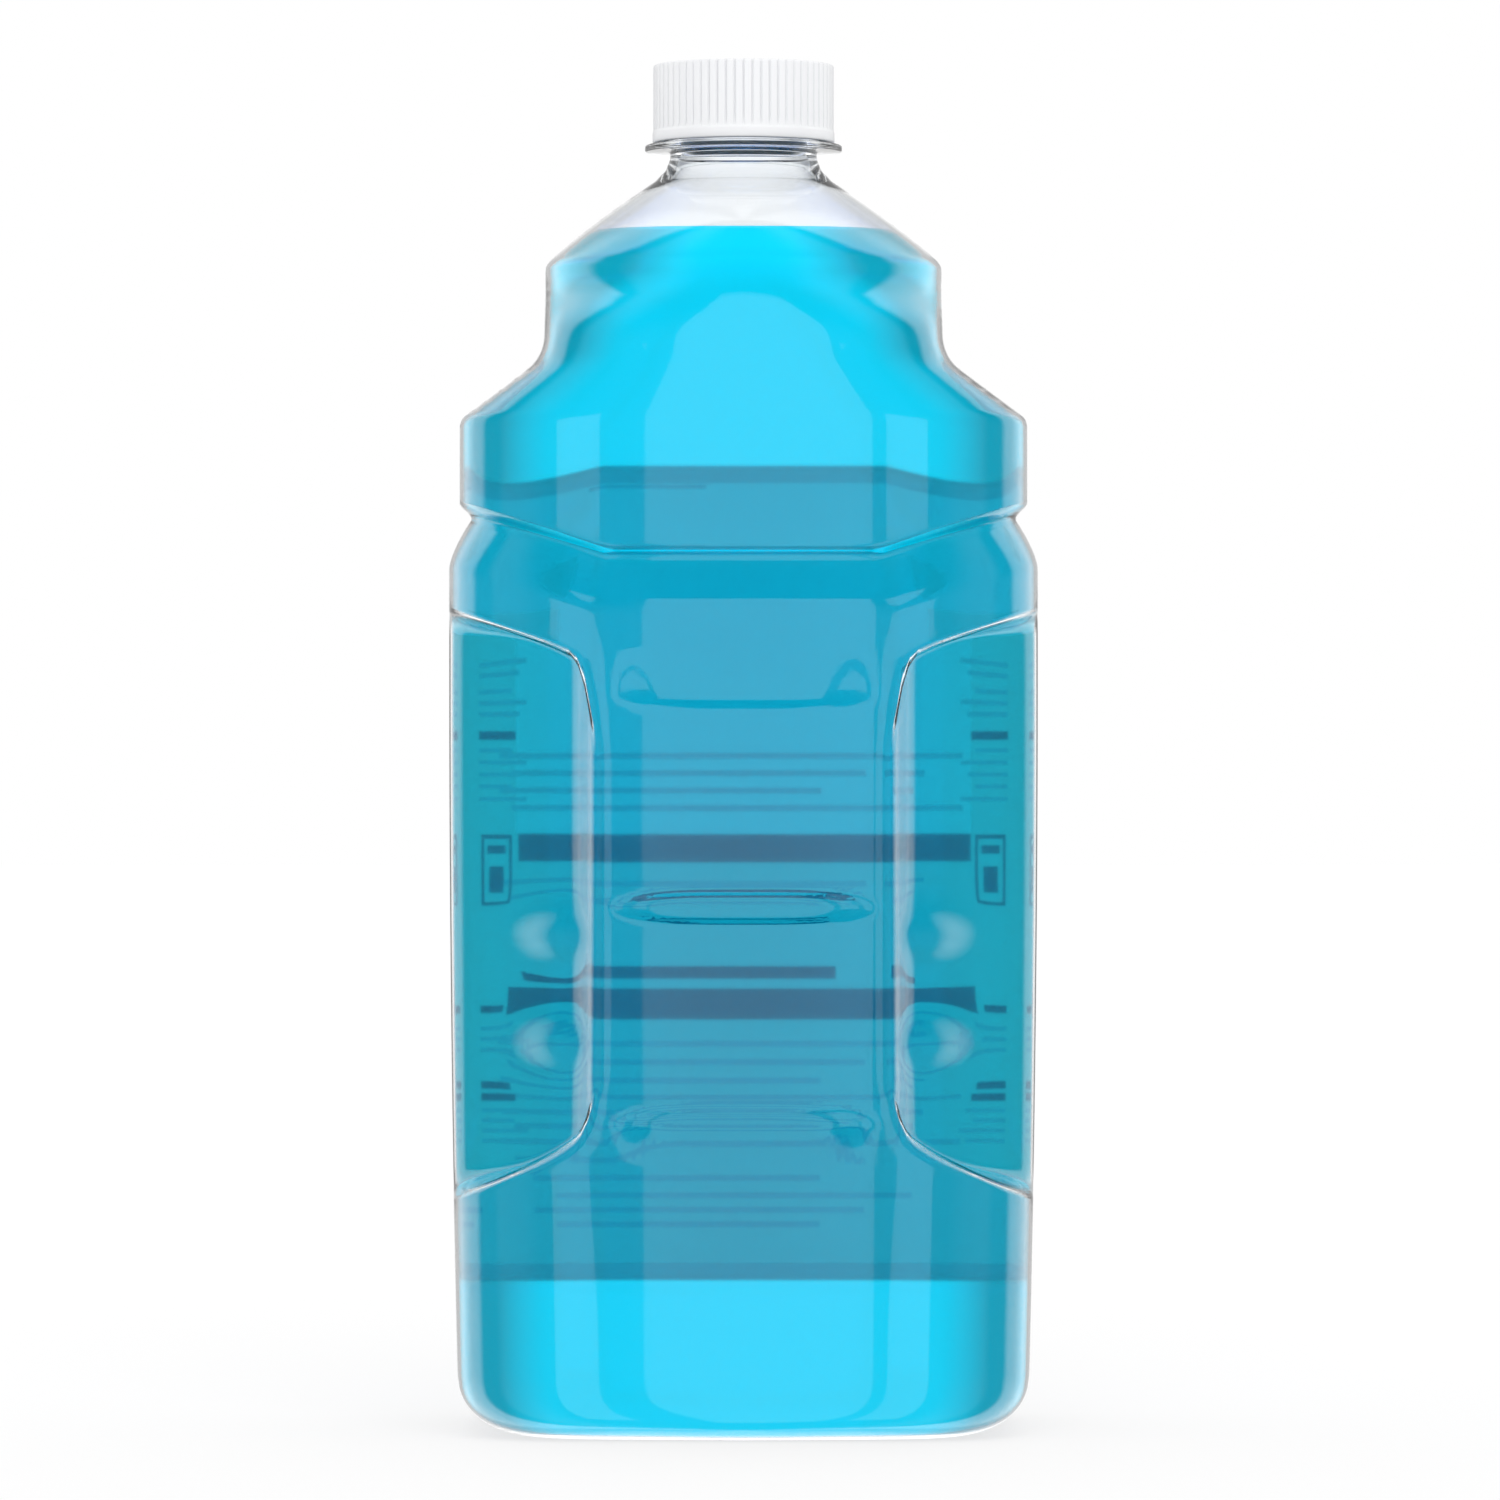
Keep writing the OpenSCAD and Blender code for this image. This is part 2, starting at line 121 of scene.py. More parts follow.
def mesh_piece(name, points, faces, materials, indices=None):
    """A smooth-shaded mesh object from points in millimetres."""
    mesh = bpy.data.meshes.new(name)
    mesh.from_pydata((np.asarray(points) * MM).tolist(), [], faces)
    for finish in materials:
        mesh.materials.append(finish)
    if indices is not None:
        mesh.polygons.foreach_set("material_index", np.asarray(indices, dtype=np.int32))
    mesh.polygons.foreach_set("use_smooth", np.ones(len(mesh.polygons), dtype=bool))
    mesh.update()
    return placed(name, mesh)


def closed_rows(rows, low_pole, high_pole):
    """Points and faces of rows closed at both ends by a pole; rows run so that the skin faces outwards."""
    n, m, _ = rows.shape
    points = np.vstack([rows.reshape(-1, 3), [low_pole], [high_pole]])
    j, i = np.meshgrid(np.arange(n - 1), np.arange(m), indexing="ij")
    a, b = j * m + i, j * m + (i + 1) % m
    quads = np.stack([a, b, b + m, a + m], axis=-1).reshape(-1, 4).tolist()
    low = [[n * m, (i + 1) % m, i] for i in range(m)]
    high = [[(n - 1) * m + i, (n - 1) * m + (i + 1) % m, n * m + 1] for i in range(m)]
    return points, low + quads + high


print("tools ready: one mesh unit is", MM, "m")

# %% [markdown]
# ## The plan
# A bottle like this is blown from a preform into a split mould, so its corners are round. Seen from
# above it is a squared-off ellipse. It could be drawn as an outline with arcs at the corners, but a
# formula lets the same outline turn into a circle higher up. Angles run from the middle of the back,
# and columns are drawn together at the four corners, where the wall turns fastest.

# %% Plan sizes and blends
HALF_W = 59.895  # half width, a hair inside the CAD's
HALF_D = 42.0  # half depth
SQUARE = 5.0  # power of the plan: 2 is an ellipse, more is squarer
CORNER_PULL = 6.0  # degrees by which columns are drawn to the corners


def lean(u):
    """Columns drawn together at the four corners, in degrees."""
    return u + CORNER_PULL * np.sin(np.radians(4 * u))


def ease(t):
    """A smooth step from 0 to 1."""
    t = np.clip(t, 0, 1)
    return t * t * (3 - 2 * t)


def soft_max(p, q, k):
    """The larger of two values, with the crossing rounded over k."""
    return np.maximum(p, q) + np.maximum(k - np.abs(p - q), 0) ** 2 / (4 * k)


def soft_min(p, q, k):
    """The smaller of two values, with the crossing rounded over k."""
    return -soft_max(-p, -q, k)


def plan_r(s, c, a, b, n):
    """Radius of the plan with half axes a and b and power n, at an angle of sine s and cosine c."""
    return ((s / a) ** n + (c / b) ** n) ** (-1 / n)


def round_drop(q):
    """How far a quarter circle has fallen at share q of its run."""
    return 1 - np.sqrt(np.clip(1 - np.clip(q, 0, 1) ** 2, 0, 1))


print("plan:", 2 * HALF_W, "by", 2 * HALF_D, "mm, power", SQUARE)

# %% [markdown]
# ## The shoulder
# Above the ring groove a wide band sweeps in to a round block, and a cone carries the block up to the
# neck. A curve through a few points could stand for all of it, but a mould is cut in plain arcs and
# straight runs, and these meet here without a kink. From the side the shoulder is one long
# bend instead, so width and depth have their own profile, and the plan turns from square to round on
# the way up.

# %% Shoulder profiles
TOP_TAPER = 0.1  # how much the sides draw in towards the shoulder
BAND_INSET = 2.1  # how far the band stands in from the body
SWEEP_Z = 204.6  # where the band ends
BLOCK_R = 40.6  # radius of the round block
RIM_Z = 237.7  # where the cone starts
CONE_SLOPE = 1.3  # fall of the cone's radius for each millimetre up
CONE_SWELL = 1.0  # outward swell of the cone halfway up
NECK_R = 15.0
FILLET_R = 7.0  # bend from the cone into the neck
DOME_R = 35.0  # long bend of the shoulder seen from the side

BAND_HALF_W = HALF_W - TOP_TAPER - BAND_INSET
BAND_D = HALF_D - BAND_INSET
OVERHANG = BAND_HALF_W - BLOCK_R
SWEEP = math.radians(53.5)  # lean of the straight run
EDGE_R = 0.145 * OVERHANG  # tight bend at the band
IN_R = 0.523 * OVERHANG  # hollow bend into the block
SWEEP_RUN = (OVERHANG - (EDGE_R + IN_R) * (1 - math.cos(SWEEP))) / math.tan(SWEEP)
EDGE_TOP = SWEEP_Z + EDGE_R * math.sin(SWEEP)
IN_LOW = EDGE_TOP + SWEEP_RUN
IN_TOP = IN_LOW + IN_R * math.sin(SWEEP)
RIM_R = BLOCK_R + 0.3
CONE = math.atan(CONE_SLOPE)
CONE_TOP = RIM_Z + (RIM_R - NECK_R - FILLET_R * (1 - math.cos(CONE))) / CONE_SLOPE
FILLET_TOP = CONE_TOP + FILLET_R * math.sin(CONE)
BLOWN_TOP = FILLET_TOP - 1.5  # where the neck's own rows take over
DOME_LOW = RIM_Z - (DOME_R * (1 - math.cos(CONE)) - (RIM_R - BAND_D) * math.cos(CONE)) / math.sin(CONE)
DOME_TOP = DOME_LOW + DOME_R * math.sin(CONE)


def sweep_half_w(v):
    """Half width from the band up: a tight bend, a straight run and a hollow bend."""
    tight = BAND_HALF_W - EDGE_R * round_drop((v - SWEEP_Z) / EDGE_R)
    run = BAND_HALF_W - EDGE_R * (1 - math.cos(SWEEP)) - (v - EDGE_TOP) * math.tan(SWEEP)
    hollow = BLOCK_R + IN_R * round_drop((IN_TOP - v) / IN_R)
    zones = [v < SWEEP_Z, v < EDGE_TOP, v < IN_LOW, v < IN_TOP]
    return np.select(zones, [BAND_HALF_W, tight, run, hollow], BLOCK_R)


def flank_swell(v):
    """Slight outward swell of the shoulder cone halfway up."""
    share = np.clip((v - RIM_Z) / (CONE_TOP - RIM_Z), 0, 1)
    return 4 * CONE_SWELL * share * (1 - share)


def cone_r(v):
    """Radius of the cone and of the bend into the neck."""
    fillet = NECK_R + FILLET_R * round_drop((FILLET_TOP - v) / FILLET_R)
    return np.where(v < CONE_TOP, RIM_R - (v - RIM_Z) * CONE_SLOPE + flank_swell(v), fillet)


def dome_half_d(v):
    """Half depth of the shoulder: upright, then a long bend into the cone."""
    bend = BAND_D - DOME_R * round_drop((v - DOME_LOW) / DOME_R) + flank_swell(v)
    return np.select([v < DOME_LOW, v < DOME_TOP], [BAND_D, bend], cone_r(v))


print("shoulder: band to", SWEEP_Z, "mm, cone from", RIM_Z, "to", round(CONE_TOP, 1), "mm")

# %% [markdown]
# ## The body without its grips
# A ring groove divides body and shoulder, stiffens the wall and runs down across the back. Below it the
# sides taper slightly, and the base draws in to a standing ring. The groove could be cut afterwards
# with a swept profile. As an inset of the radius it fades out by itself on the label side, where the
# wall stays flat for the film.

# %% Body radius
WIDEST_Z = 150.0
SIDE_TAPER = 2.0
FACE_TAPER = 1.6
TAPER_REACH = 0.8  # share of the widest height over which the top tapers
BASE_H = 13.0  # rounding of the base: height, then draw-in at the sides and at the faces
BASE_W = 21.5
BASE_D = 9.5
BASE_POWER = 2.5  # squarer than a circle
GROOVE_Z = 189.6
GROOVE_DEPTH = 2.4
GROOVE_FLOOR = GROOVE_Z - 4
GROOVE_LIP = GROOVE_Z - 14
HOLLOW_SHARE = 0.85  # share of the groove's upper side that is hollow
BEVEL_POWER = 1.5
SHOULDER_ROUNDING = 2.5  # loss of squareness over the sweep, then over the cone
CONE_ROUNDING = 0.5
TURN_EARLY = 0.3  # shares of the hollow bend and of the block between which the plan turns round
TURN_LATE = 0.7
RIM_REACH = 4  # below the rim, where its rounding may start
RIM_SOFT = 1.3
PANEL_EDGE = 99.0  # degrees from the back: the label panel starts, is full, and its wall is flat
PANEL_FULL = 108.0
PANEL_FLAT = 117.0


def base_drop(q):
    """Fall of the base's rounding: the standing ring lies well inside the sides."""
    return 1 - (1 - np.clip(q, 0, 1) ** BASE_POWER) ** (1 / BASE_POWER)


def groove_inset(v):
    """How far the wall stands in at the ring groove."""
    hollow = 1 - ease((v - GROOVE_FLOOR) / (HOLLOW_SHARE * (GROOVE_Z - GROOVE_FLOOR)))
    rise = np.clip((v - GROOVE_LIP) / (GROOVE_FLOOR - GROOVE_LIP), 0, 1)
    bevel = (BAND_INSET + GROOVE_DEPTH) * rise**BEVEL_POWER
    above = [BAND_INSET, BAND_INSET + GROOVE_DEPTH * hollow]
    return np.select([v >= GROOVE_Z, v > GROOVE_FLOOR], above, bevel)


def from_back(phi):
    """Degrees from the middle of the back, on either side."""
    return np.degrees(np.minimum(phi, 2 * np.pi - phi))


def plain_r(phi, v):
    """Outer radius without grips, at angle phi from the back and level v."""
    s, c = np.abs(np.sin(phi)), np.abs(np.cos(phi))
    low = np.clip((WIDEST_Z - v) / WIDEST_Z, 0, 1) ** 2
    high = np.clip((v - WIDEST_Z) / (TAPER_REACH * WIDEST_Z), 0, 1) ** 2
    flat = ease((from_back(phi) - lean(PANEL_FULL)) / (lean(PANEL_FLAT) - lean(PANEL_FULL)))
    plain_inset = BAND_INSET * ease((v - GROOVE_LIP) / (GROOVE_Z - GROOVE_LIP))
    inset = groove_inset(v) * (1 - flat) + plain_inset * flat
    turn_low = TURN_EARLY * IN_LOW + TURN_LATE * IN_TOP
    turn_top = TURN_EARLY * IN_TOP + TURN_LATE * RIM_Z
    power = SQUARE - SHOULDER_ROUNDING * ease((v - turn_low) / (turn_top - turn_low))
    power = power - CONE_ROUNDING * ease((v - RIM_Z) / (CONE_TOP - RIM_Z))
    half_w = HALF_W - SIDE_TAPER * low - TOP_TAPER * high - inset
    half_d = HALF_D - FACE_TAPER * low - inset
    body = plan_r(s, c, half_w, half_d, power)
    body = body - (BASE_W * s * s + BASE_D * c * c) * base_drop((BASE_H - v) / BASE_H)
    rim = soft_min(sweep_half_w(v), cone_r(v), RIM_SOFT)
    wide = np.where(v > RIM_Z - RIM_REACH, rim, sweep_half_w(v))
    wide = np.where(v > CONE_TOP, cone_r(v), wide)
    return np.where(v > SWEEP_Z, plan_r(s, c, wide, dome_half_d(v), power), body)


print("body: widest at", WIDEST_Z, "mm, ring groove at", GROOVE_Z, "mm")

# %% [markdown]
# ## The grips
# A mould insert presses a deep recess into each back corner: a finger wall beside the back panel, a
# floor that runs out to the side, and two bumps between the fingers. A boolean cut would leave hard
# edges, and a hard edge in clear plastic shows as a black line. So the recess is a smaller radius that
# the wall blends into, and the rows of the mesh lean with the slanting roof and lip, so that both edges
# stay smooth.

# %% Grip radius
GRIP_HALF_W = 30.0  # half width of the back panel between the grips
GRIP_WALL = 9.0  # depth of the finger wall
WALL_RUN = 3.5
FLOOR_END = 14.0
GRIP_TOP = 164.6
GRIP_LOW = 51.2
GRIP_MID = (GRIP_TOP + GRIP_LOW) / 2
BUMP_H = 2.6
BUMP_SOFT = 5.5
BUMP_HEIGHTS = [79.9, 101.4]
BUMP_FADE_FROM = 48  # degrees from the back where the bumps start to fade, and how long that takes
BUMP_FADE_RUN = 20
FOOT_SOFT = 1.4  # rounding between finger wall and floor

FOOT = np.array([GRIP_HALF_W + WALL_RUN, HALF_D - GRIP_WALL])
FLOOR_N = np.array([FOOT[1] - FLOOR_END, HALF_W - FOOT[0]])
FLOOR_N = FLOOR_N / np.hypot(*FLOOR_N)
WALL_N = np.array([GRIP_WALL, WALL_RUN]) / np.hypot(GRIP_WALL, WALL_RUN)


def recess_r(s, c, bump):
    """Finger wall beside the back panel, then a floor out to the side."""
    wall = WALL_N @ [GRIP_HALF_W, HALF_D] / np.maximum(0.01, WALL_N[0] * s + WALL_N[1] * c)
    floor = FLOOR_N @ FOOT / np.maximum(0.01, FLOOR_N[0] * s + FLOOR_N[1] * c)
    return soft_max(floor + bump, wall, FOOT_SOFT)


def grip_r(s, c, z):
    """The recess with its two finger bumps at real heights."""
    fade = 1 - ease((np.degrees(np.arctan2(s, c)) - BUMP_FADE_FROM) / BUMP_FADE_RUN)
    swell = sum(np.exp(-(((z - b) / BUMP_SOFT) ** 2)) for b in BUMP_HEIGHTS)
    return recess_r(s, c, BUMP_H * fade * swell)


print("grips: from", GRIP_LOW, "to", GRIP_TOP, "mm, bumps at", BUMP_HEIGHTS)

# %% Rows that lean with the grips and the groove
GROOVE_FALL = 0.29  # fall of the groove for each millimetre in from the side
ROOF_FALL = 0.31
LIP_RISE = 0.42
CORNER_R = 6.5  # how far the roof and lip bend beside the back panel, and by how much
ROOF_BEND = 14.0
LIP_BEND = 6.0
LEVEL_LOW = BASE_H * 5 / 3  # where the rows start to lean at the back, and at the front
FRONT_LOW = GRIP_TOP - 20


def tilted(phi, v):
    """Height of a level at angle phi: the rows run along the grip edges and the ring groove."""
    s, c = np.abs(np.sin(phi)), np.abs(np.cos(phi))
    plan = plan_r(s, c, HALF_W, HALF_D, SQUARE)
    y = -np.cos(phi) * plan
    x = plan * s
    run = HALF_W - np.clip(x, GRIP_HALF_W, HALF_W)
    bend = np.clip(1 - (x - GRIP_HALF_W) / CORNER_R, 0, 1) ** 2
    low = np.interp(v, [LEVEL_LOW, GRIP_LOW, GRIP_MID], [0, 1, 0]) * (LIP_RISE * run + LIP_BEND * bend)
    high = np.interp(v, [GRIP_MID, GRIP_TOP, GROOVE_LIP], [0, 1, 0]) * (ROOF_FALL * run + ROOF_BEND * bend)
    back = np.interp(v, [GRIP_TOP, GROOVE_LIP, GROOVE_Z, SWEEP_Z], [0, 1, 1, 0])
    front = np.interp(v, [FRONT_LOW, GROOVE_LIP, GROOVE_Z, SWEEP_Z], [0, 1, 1, 0])
    return v + np.where(y < 0, low - high - back * GROOVE_FALL * run, front * GROOVE_FALL * run)


print("rows lean by up to", round(float(tilted(np.radians(30.0), GRIP_LOW) - GRIP_LOW), 1), "mm at the lip")

# %% [markdown]
# ## The whole outer skin
# Grips, three stiffening grooves across the back and the shallow label panel are taken off the plain
# body. The mesh has many rows where the form turns and few where it is straight. A subdivision modifier
# could even out a coarser mesh, but it would draw the edges away from their places.

# %% Outer skin
ROOF_SOFT = 2.6  # half height over which the roof and the lip blend in
LIP_SOFT = 3.2
GRIP_BLEND = 2.5
STIFF_DEPTH = 1.2
STIFF_LEN = 53.0
STIFF_H = 7.0
STIFF_PITCH = 43.4
STIFF_HEIGHTS = [GRIP_MID + k * STIFF_PITCH - 0.6 for k in (-1, 0, 1)]
STIFF_STEEP = 1.3
LABEL_LOW = 29.0
PANEL_DEPTH = 0.6
PANEL_RUN = 4  # height over which the label panel sinks in


def skin_r(phi, v):
    """Outer radius with grips, stiffening grooves and the label panel."""
    plain = plain_r(phi, v)
    s, c = np.abs(np.sin(phi)), np.cos(phi)
    beside = plan_r(s, np.abs(c), HALF_W, HALF_D, SQUARE) * s - GRIP_HALF_W
    steep = np.clip(1 - beside / CORNER_R, 0, 1) * 2 / CORNER_R
    roof = ROOF_SOFT * np.hypot(1, ROOF_BEND * steep)
    lip = LIP_SOFT * np.hypot(1, LIP_BEND * steep)
    mask = ease((GRIP_TOP + roof - v) / (2 * roof)) * ease((v - GRIP_LOW + lip) / (2 * lip))
    z = tilted(phi, v)
    gripped = plain - mask * (plain - soft_min(plain, grip_r(s, np.abs(c), z), GRIP_BLEND))
    ends = (2 * (gripped * s) / STIFF_LEN) ** 4
    cut = sum(ease(STIFF_STEEP * (1 - (2 * (z - h) / STIFF_H) ** 2 - ends)) for h in STIFF_HEIGHTS)
    back = gripped - STIFF_DEPTH * cut / np.maximum(c, 0.5)
    sunk = ease((from_back(phi) - lean(PANEL_EDGE)) / (lean(PANEL_FULL) - lean(PANEL_EDGE)))
    sunk = sunk * ease((v - LABEL_LOW + PANEL_RUN) / PANEL_RUN)
    sunk = sunk * np.where(v > GROOVE_FLOOR, 1 - ease((v - GROOVE_FLOOR) / PANEL_RUN), 1)
    return np.where(c > 0, np.where(v > GROOVE_FLOOR, plain, back), plain - PANEL_DEPTH * sunk)


def skin_points(phi, v, out=0.0):
    """Points of the outer skin for columns phi and levels v, as rows of columns."""
    phi, v = np.meshgrid(phi, v)
    r = skin_r(phi, v) + out
    return np.stack([r * np.sin(phi), -r * np.cos(phi), tilted(phi, v)], axis=-1)


print("stiffening grooves at", [round(h, 1) for h in STIFF_HEIGHTS], "mm")

# %% Rows of the skin and thickness of the wall
COLUMNS = 180  # keeps the bottle under 200,000 triangles
LEVELS = 225
WALL = 0.5
BASE_WALL = 0.35  # the base is blown thinner than the sides
TOP_WALL = 0.8
BORE_R = 13.2
PUSH_UP = 5.0  # height of the dome under the base
RING_IN = 0.86  # share of the foot where the dome meets the standing ring
DOME_SHARES = np.array([0.12, 0.3, 0.5, 0.68, 0.8, RING_IN, 0.93])
PHI = np.radians(lean(np.arange(COLUMNS) * 360 / COLUMNS))

# where the form turns: height, reach on either side, and how many more rows it needs there
TURNS = [
    (0, 1.2, 14.0),
    (0, 9, 2.0),
    (LABEL_LOW - 2, 3, 2),
    (GRIP_LOW, 4.5, 3),
    (GRIP_TOP, 4, 3),
    (GROOVE_FLOOR, 5, 2.5),
    (GROOVE_Z, 1.0, 8),
    (GROOVE_LIP, 4, 1.5),
    (SWEEP_Z + 1, 1.6, 5),
    (RIM_Z, 2.5, 4),
    (IN_TOP - 3, 5, 1),
]
TURNS += [(z, 6, 1.2) for z in STIFF_HEIGHTS]


def drawn_levels(count):
    """Levels from the standing ring to the neck, closer together where the form turns."""
    fine = np.linspace(0, BLOWN_TOP, 4000)
    need = np.full(fine.shape, 1.0)
    for z, reach, more in TURNS:
        need += more * (np.abs(fine - z) < reach)
    total = np.concatenate([[0], np.cumsum((need[1:] + need[:-1]) / 2)])
    return np.interp(np.linspace(0, total[-1], count), total, fine)


def body_rows(count):
    """Dome and standing ring, then the wall up to the neck, with the thickness of each row."""
    levels = drawn_levels(count)
    wall_rows = skin_points(PHI, levels)
    dome = wall_rows[:1] * DOME_SHARES[:, None, None]
    dome[..., 2] = np.maximum(0, PUSH_UP * (1 - (DOME_SHARES / RING_IN) ** 2))[:, None]
    thick = BASE_WALL + (WALL - BASE_WALL) * ease(levels / BASE_H)
    thick = thick + (TOP_WALL - WALL) * ease((levels - SWEEP_Z) / (RIM_Z - SWEEP_Z))
    to_neck = ease((levels - CONE_TOP + 1) / (BLOWN_TOP - CONE_TOP + 1))
    thick = thick + (NECK_R - BORE_R - TOP_WALL) * to_neck
    return np.concatenate([dome, wall_rows]), np.concatenate([np.full(len(DOME_SHARES), BASE_WALL), thick])


skin, thick = body_rows(LEVELS)
corners = skin.reshape(-1, 3)
print("outer skin:", skin.shape, "box mm", corners.min(0).round(1), corners.max(0).round(1))

# %% [markdown]
# ## The neck and its thread
# The neck is moulded before the bottle is blown, so it is crisp: a support ring, a screw thread and a
# rounded mouth. The thread is a ridge that climbs one pitch for each turn. A swept curve could make it,
# but it would lie on the neck as a second mesh. Here it is raised from the neck's own rows. It lives
# under the cap, and the CAD leaves it out.

# %% Turned profiles and the thread
RING_R = 20.2
RING_T = 1.4
FINISH_R = 15.7
FINISH_H = 13.9
RING_LOW = FILLET_TOP + 0.2
RING_TOP = RING_LOW + RING_T
MOUTH_Z = RING_TOP + FINISH_H
PITCH = 4.233
THREAD_TURNS = 1.6
THREAD_LOW = RING_TOP + 3.6
THREAD_H = 1.1
THREAD_HALF_W = 1.05
THREAD_FADE = 0.08  # share of a turn over which each end runs out
THREAD_FLANK = 0.55  # share of the half width that a flank takes
NECK_BEND = 0.5  # hollow bend under the support ring, and above it
FINISH_BEND = 0.6
RING_EDGE = 0.45  # rounded edges of the support ring and of the mouth
MOUTH_OUT = 0.6
MOUTH_IN = 0.3


def thread_ridge(phi, z, half_w, start):
    """Share of a right-hand thread's height at angle phi and height z; start is where it begins."""
    best = np.zeros(np.broadcast(phi, z).shape)
    for turn in range(3):
        along = phi / (2 * np.pi) + turn
        ridge = ease((half_w - np.abs(z - start - PITCH * along)) / (half_w * THREAD_FLANK))
        ends = ease(along / THREAD_FADE) * ease((THREAD_TURNS - along) / THREAD_FADE)
        best = np.maximum(best, ridge * ends)
    return best


def turned(profile, phi, bump=None):
    """Rows of a turned profile of (radius, height) pairs, with a radial bump if one is given."""
    r = np.array([p[0] for p in profile])[:, None]
    z = np.array([p[1] for p in profile])[:, None]
    angle = np.broadcast_to(phi, (len(profile), len(phi)))
    r = r + (bump(angle, z) if bump else 0)
    return np.stack([r * np.sin(angle), -r * np.cos(angle), np.broadcast_to(z, angle.shape)], axis=-1)


def arc(cx, cz, r, start, end, steps):
    """Points of an arc in a profile, angles in degrees from the outward direction."""
    angles = [math.radians(t) for t in np.linspace(start, end, steps)]
    return [(cx + r * math.cos(t), cz + r * math.sin(t)) for t in angles]


def neck_thread(angle, z):
    """The ridge on the neck, in millimetres."""
    return THREAD_H * thread_ridge(angle, z, THREAD_HALF_W, THREAD_LOW)


neck_low = [(float(cone_r(np.array(z))), z) for z in np.linspace(BLOWN_TOP + 0.4, FILLET_TOP - 0.1, 4)]
neck_low += arc(NECK_R + NECK_BEND, RING_LOW - NECK_BEND, NECK_BEND, 180, 95, 4)
neck_low += arc(RING_R - RING_EDGE, RING_LOW + RING_EDGE, RING_EDGE, -90, 0, 6)
neck_low += arc(RING_R - RING_EDGE, RING_TOP - RING_EDGE, RING_EDGE, 0, 90, 6)
neck_low += arc(FINISH_R + FINISH_BEND, RING_TOP + FINISH_BEND, FINISH_BEND, 268, 180, 4)
neck_mid = [(FINISH_R, z) for z in np.linspace(RING_TOP + 1.0, MOUTH_Z - 1.0, 46)]
neck_top = arc(FINISH_R - MOUTH_OUT, MOUTH_Z - MOUTH_OUT, MOUTH_OUT, 0, 90, 6)
neck_top += arc(BORE_R + MOUTH_IN, MOUTH_Z - MOUTH_IN, MOUTH_IN, 90, 180, 4)
neck_top += [(BORE_R, z) for z in np.linspace(MOUTH_Z - 3, BLOWN_TOP + 1.0, 6)]
neck = np.concatenate([
    turned(neck_low, PHI),
    turned(neck_mid, PHI, neck_thread),
    turned(neck_top, PHI),
])
print("neck:", neck.shape, "mouth at", round(MOUTH_Z, 2), "mm")

# %% [markdown]
# ## Bottle
# The whole bottle is one skin: out from the middle of the base, up the outside, over the mouth and down
# the inside. A solidify modifier would offset the inside along each point's own normal, and that folds
# at the tight edges of the grips and shows as black lines. So the normals are evened out up the wall
# first. Near the neck the wall is thick and the form gentle, and the plain normals are used.

# %% Inner skin and bottle
EVEN_PASSES = 25
PLAIN_FROM = 212  # height above which the plain normals come in, and how long that takes
PLAIN_RUN = 16


def outward(rows):
    """Unit normals of rows of columns that close on themselves."""
    along = np.roll(rows, -1, axis=1) - np.roll(rows, 1, axis=1)
    n = np.cross(along, np.gradient(rows, axis=0))
    return n / np.linalg.norm(n, axis=2, keepdims=True)


def softened(normals, passes):
    """Normals evened out up the wall, so that an inner skin doesn't fold at the tight edges."""
    even = normals.copy()
    for _ in range(passes):
        even[1:-1] = (even[:-2] + 2 * even[1:-1] + even[2:]) / 4
    return even / np.linalg.norm(even, axis=2, keepdims=True)


upper = ease((skin[..., 2:] - PLAIN_FROM) / PLAIN_RUN)
inward = softened(outward(skin), EVEN_PASSES) * (1 - upper) + outward(skin) * upper
inward = inward / np.linalg.norm(inward, axis=2, keepdims=True)
inside = (skin - thick[:, None, None] * inward)[::-1][1:]
bottle_rows = np.concatenate([skin, neck, inside])
points, faces = closed_rows(bottle_rows, [0, 0, PUSH_UP], [0, 0, PUSH_UP + BASE_WALL])

# blown PET: a hard gloss from the polished mould, a strong bend of light and almost no tint
clear_pet = material("clear PET", Base_Color=linear("FBFDFE"), Roughness=0.02, IOR=1.5,
                     Transmission_Weight=1.0)
bottle = mesh_piece("bottle", points, faces, [clear_pet])
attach(bottle, "bottle_body")
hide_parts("bottle")
print("bottle:", len(faces), "faces")

# %% [markdown]
# ## Liquid
# The cleaner fills the bottle to the shoulder cone. Its skin could touch the wall, or reach a hair into
# it, but a thin film of air is left here: at a slant it mirrors the white surroundings, and that gives
# the pale edges that a filled bottle shows. The dye takes nearly all red light and a little green, and
# lets blue through, so the tint is an absorption in the volume and not a surface colour: thin places
# are pale and deep ones dark.

# %% Liquid inside the wall
FILL_Z = 244.0
FILM = 0.12  # air between liquid and wall
DYE_LETS_THROUGH = (0.0, 0.95, 1.0, 1.0)  # a channel absorbs what it lacks to 1, times the density
DYE_DENSITY = 90.0  # per metre
SURFACE_SHARES = (1.0, 0.985, 0.96, 0.8, 0.5, 0.2)  # rings of the level's surface, from the shore in

liquid_out = skin - (thick + FILM)[:, None, None] * inward
below = liquid_out[: int(np.argmax(liquid_out[..., 2].max(1) > FILL_Z - 0.4))]
shore = np.empty((COLUMNS, 3))
for i in range(COLUMNS):
    column = liquid_out[len(below) - 1 :, i]
    shore[i] = [np.interp(FILL_Z, column[:, 2], column[:, k]) for k in range(3)]
level_rows = np.array([shore * [f, f, 0] + [0, 0, FILL_Z] for f in SURFACE_SHARES])
liquid_rows = np.concatenate([below, level_rows])
points, faces = closed_rows(liquid_rows, [0, 0, PUSH_UP + BASE_WALL + FILM], [0, 0, FILL_Z])

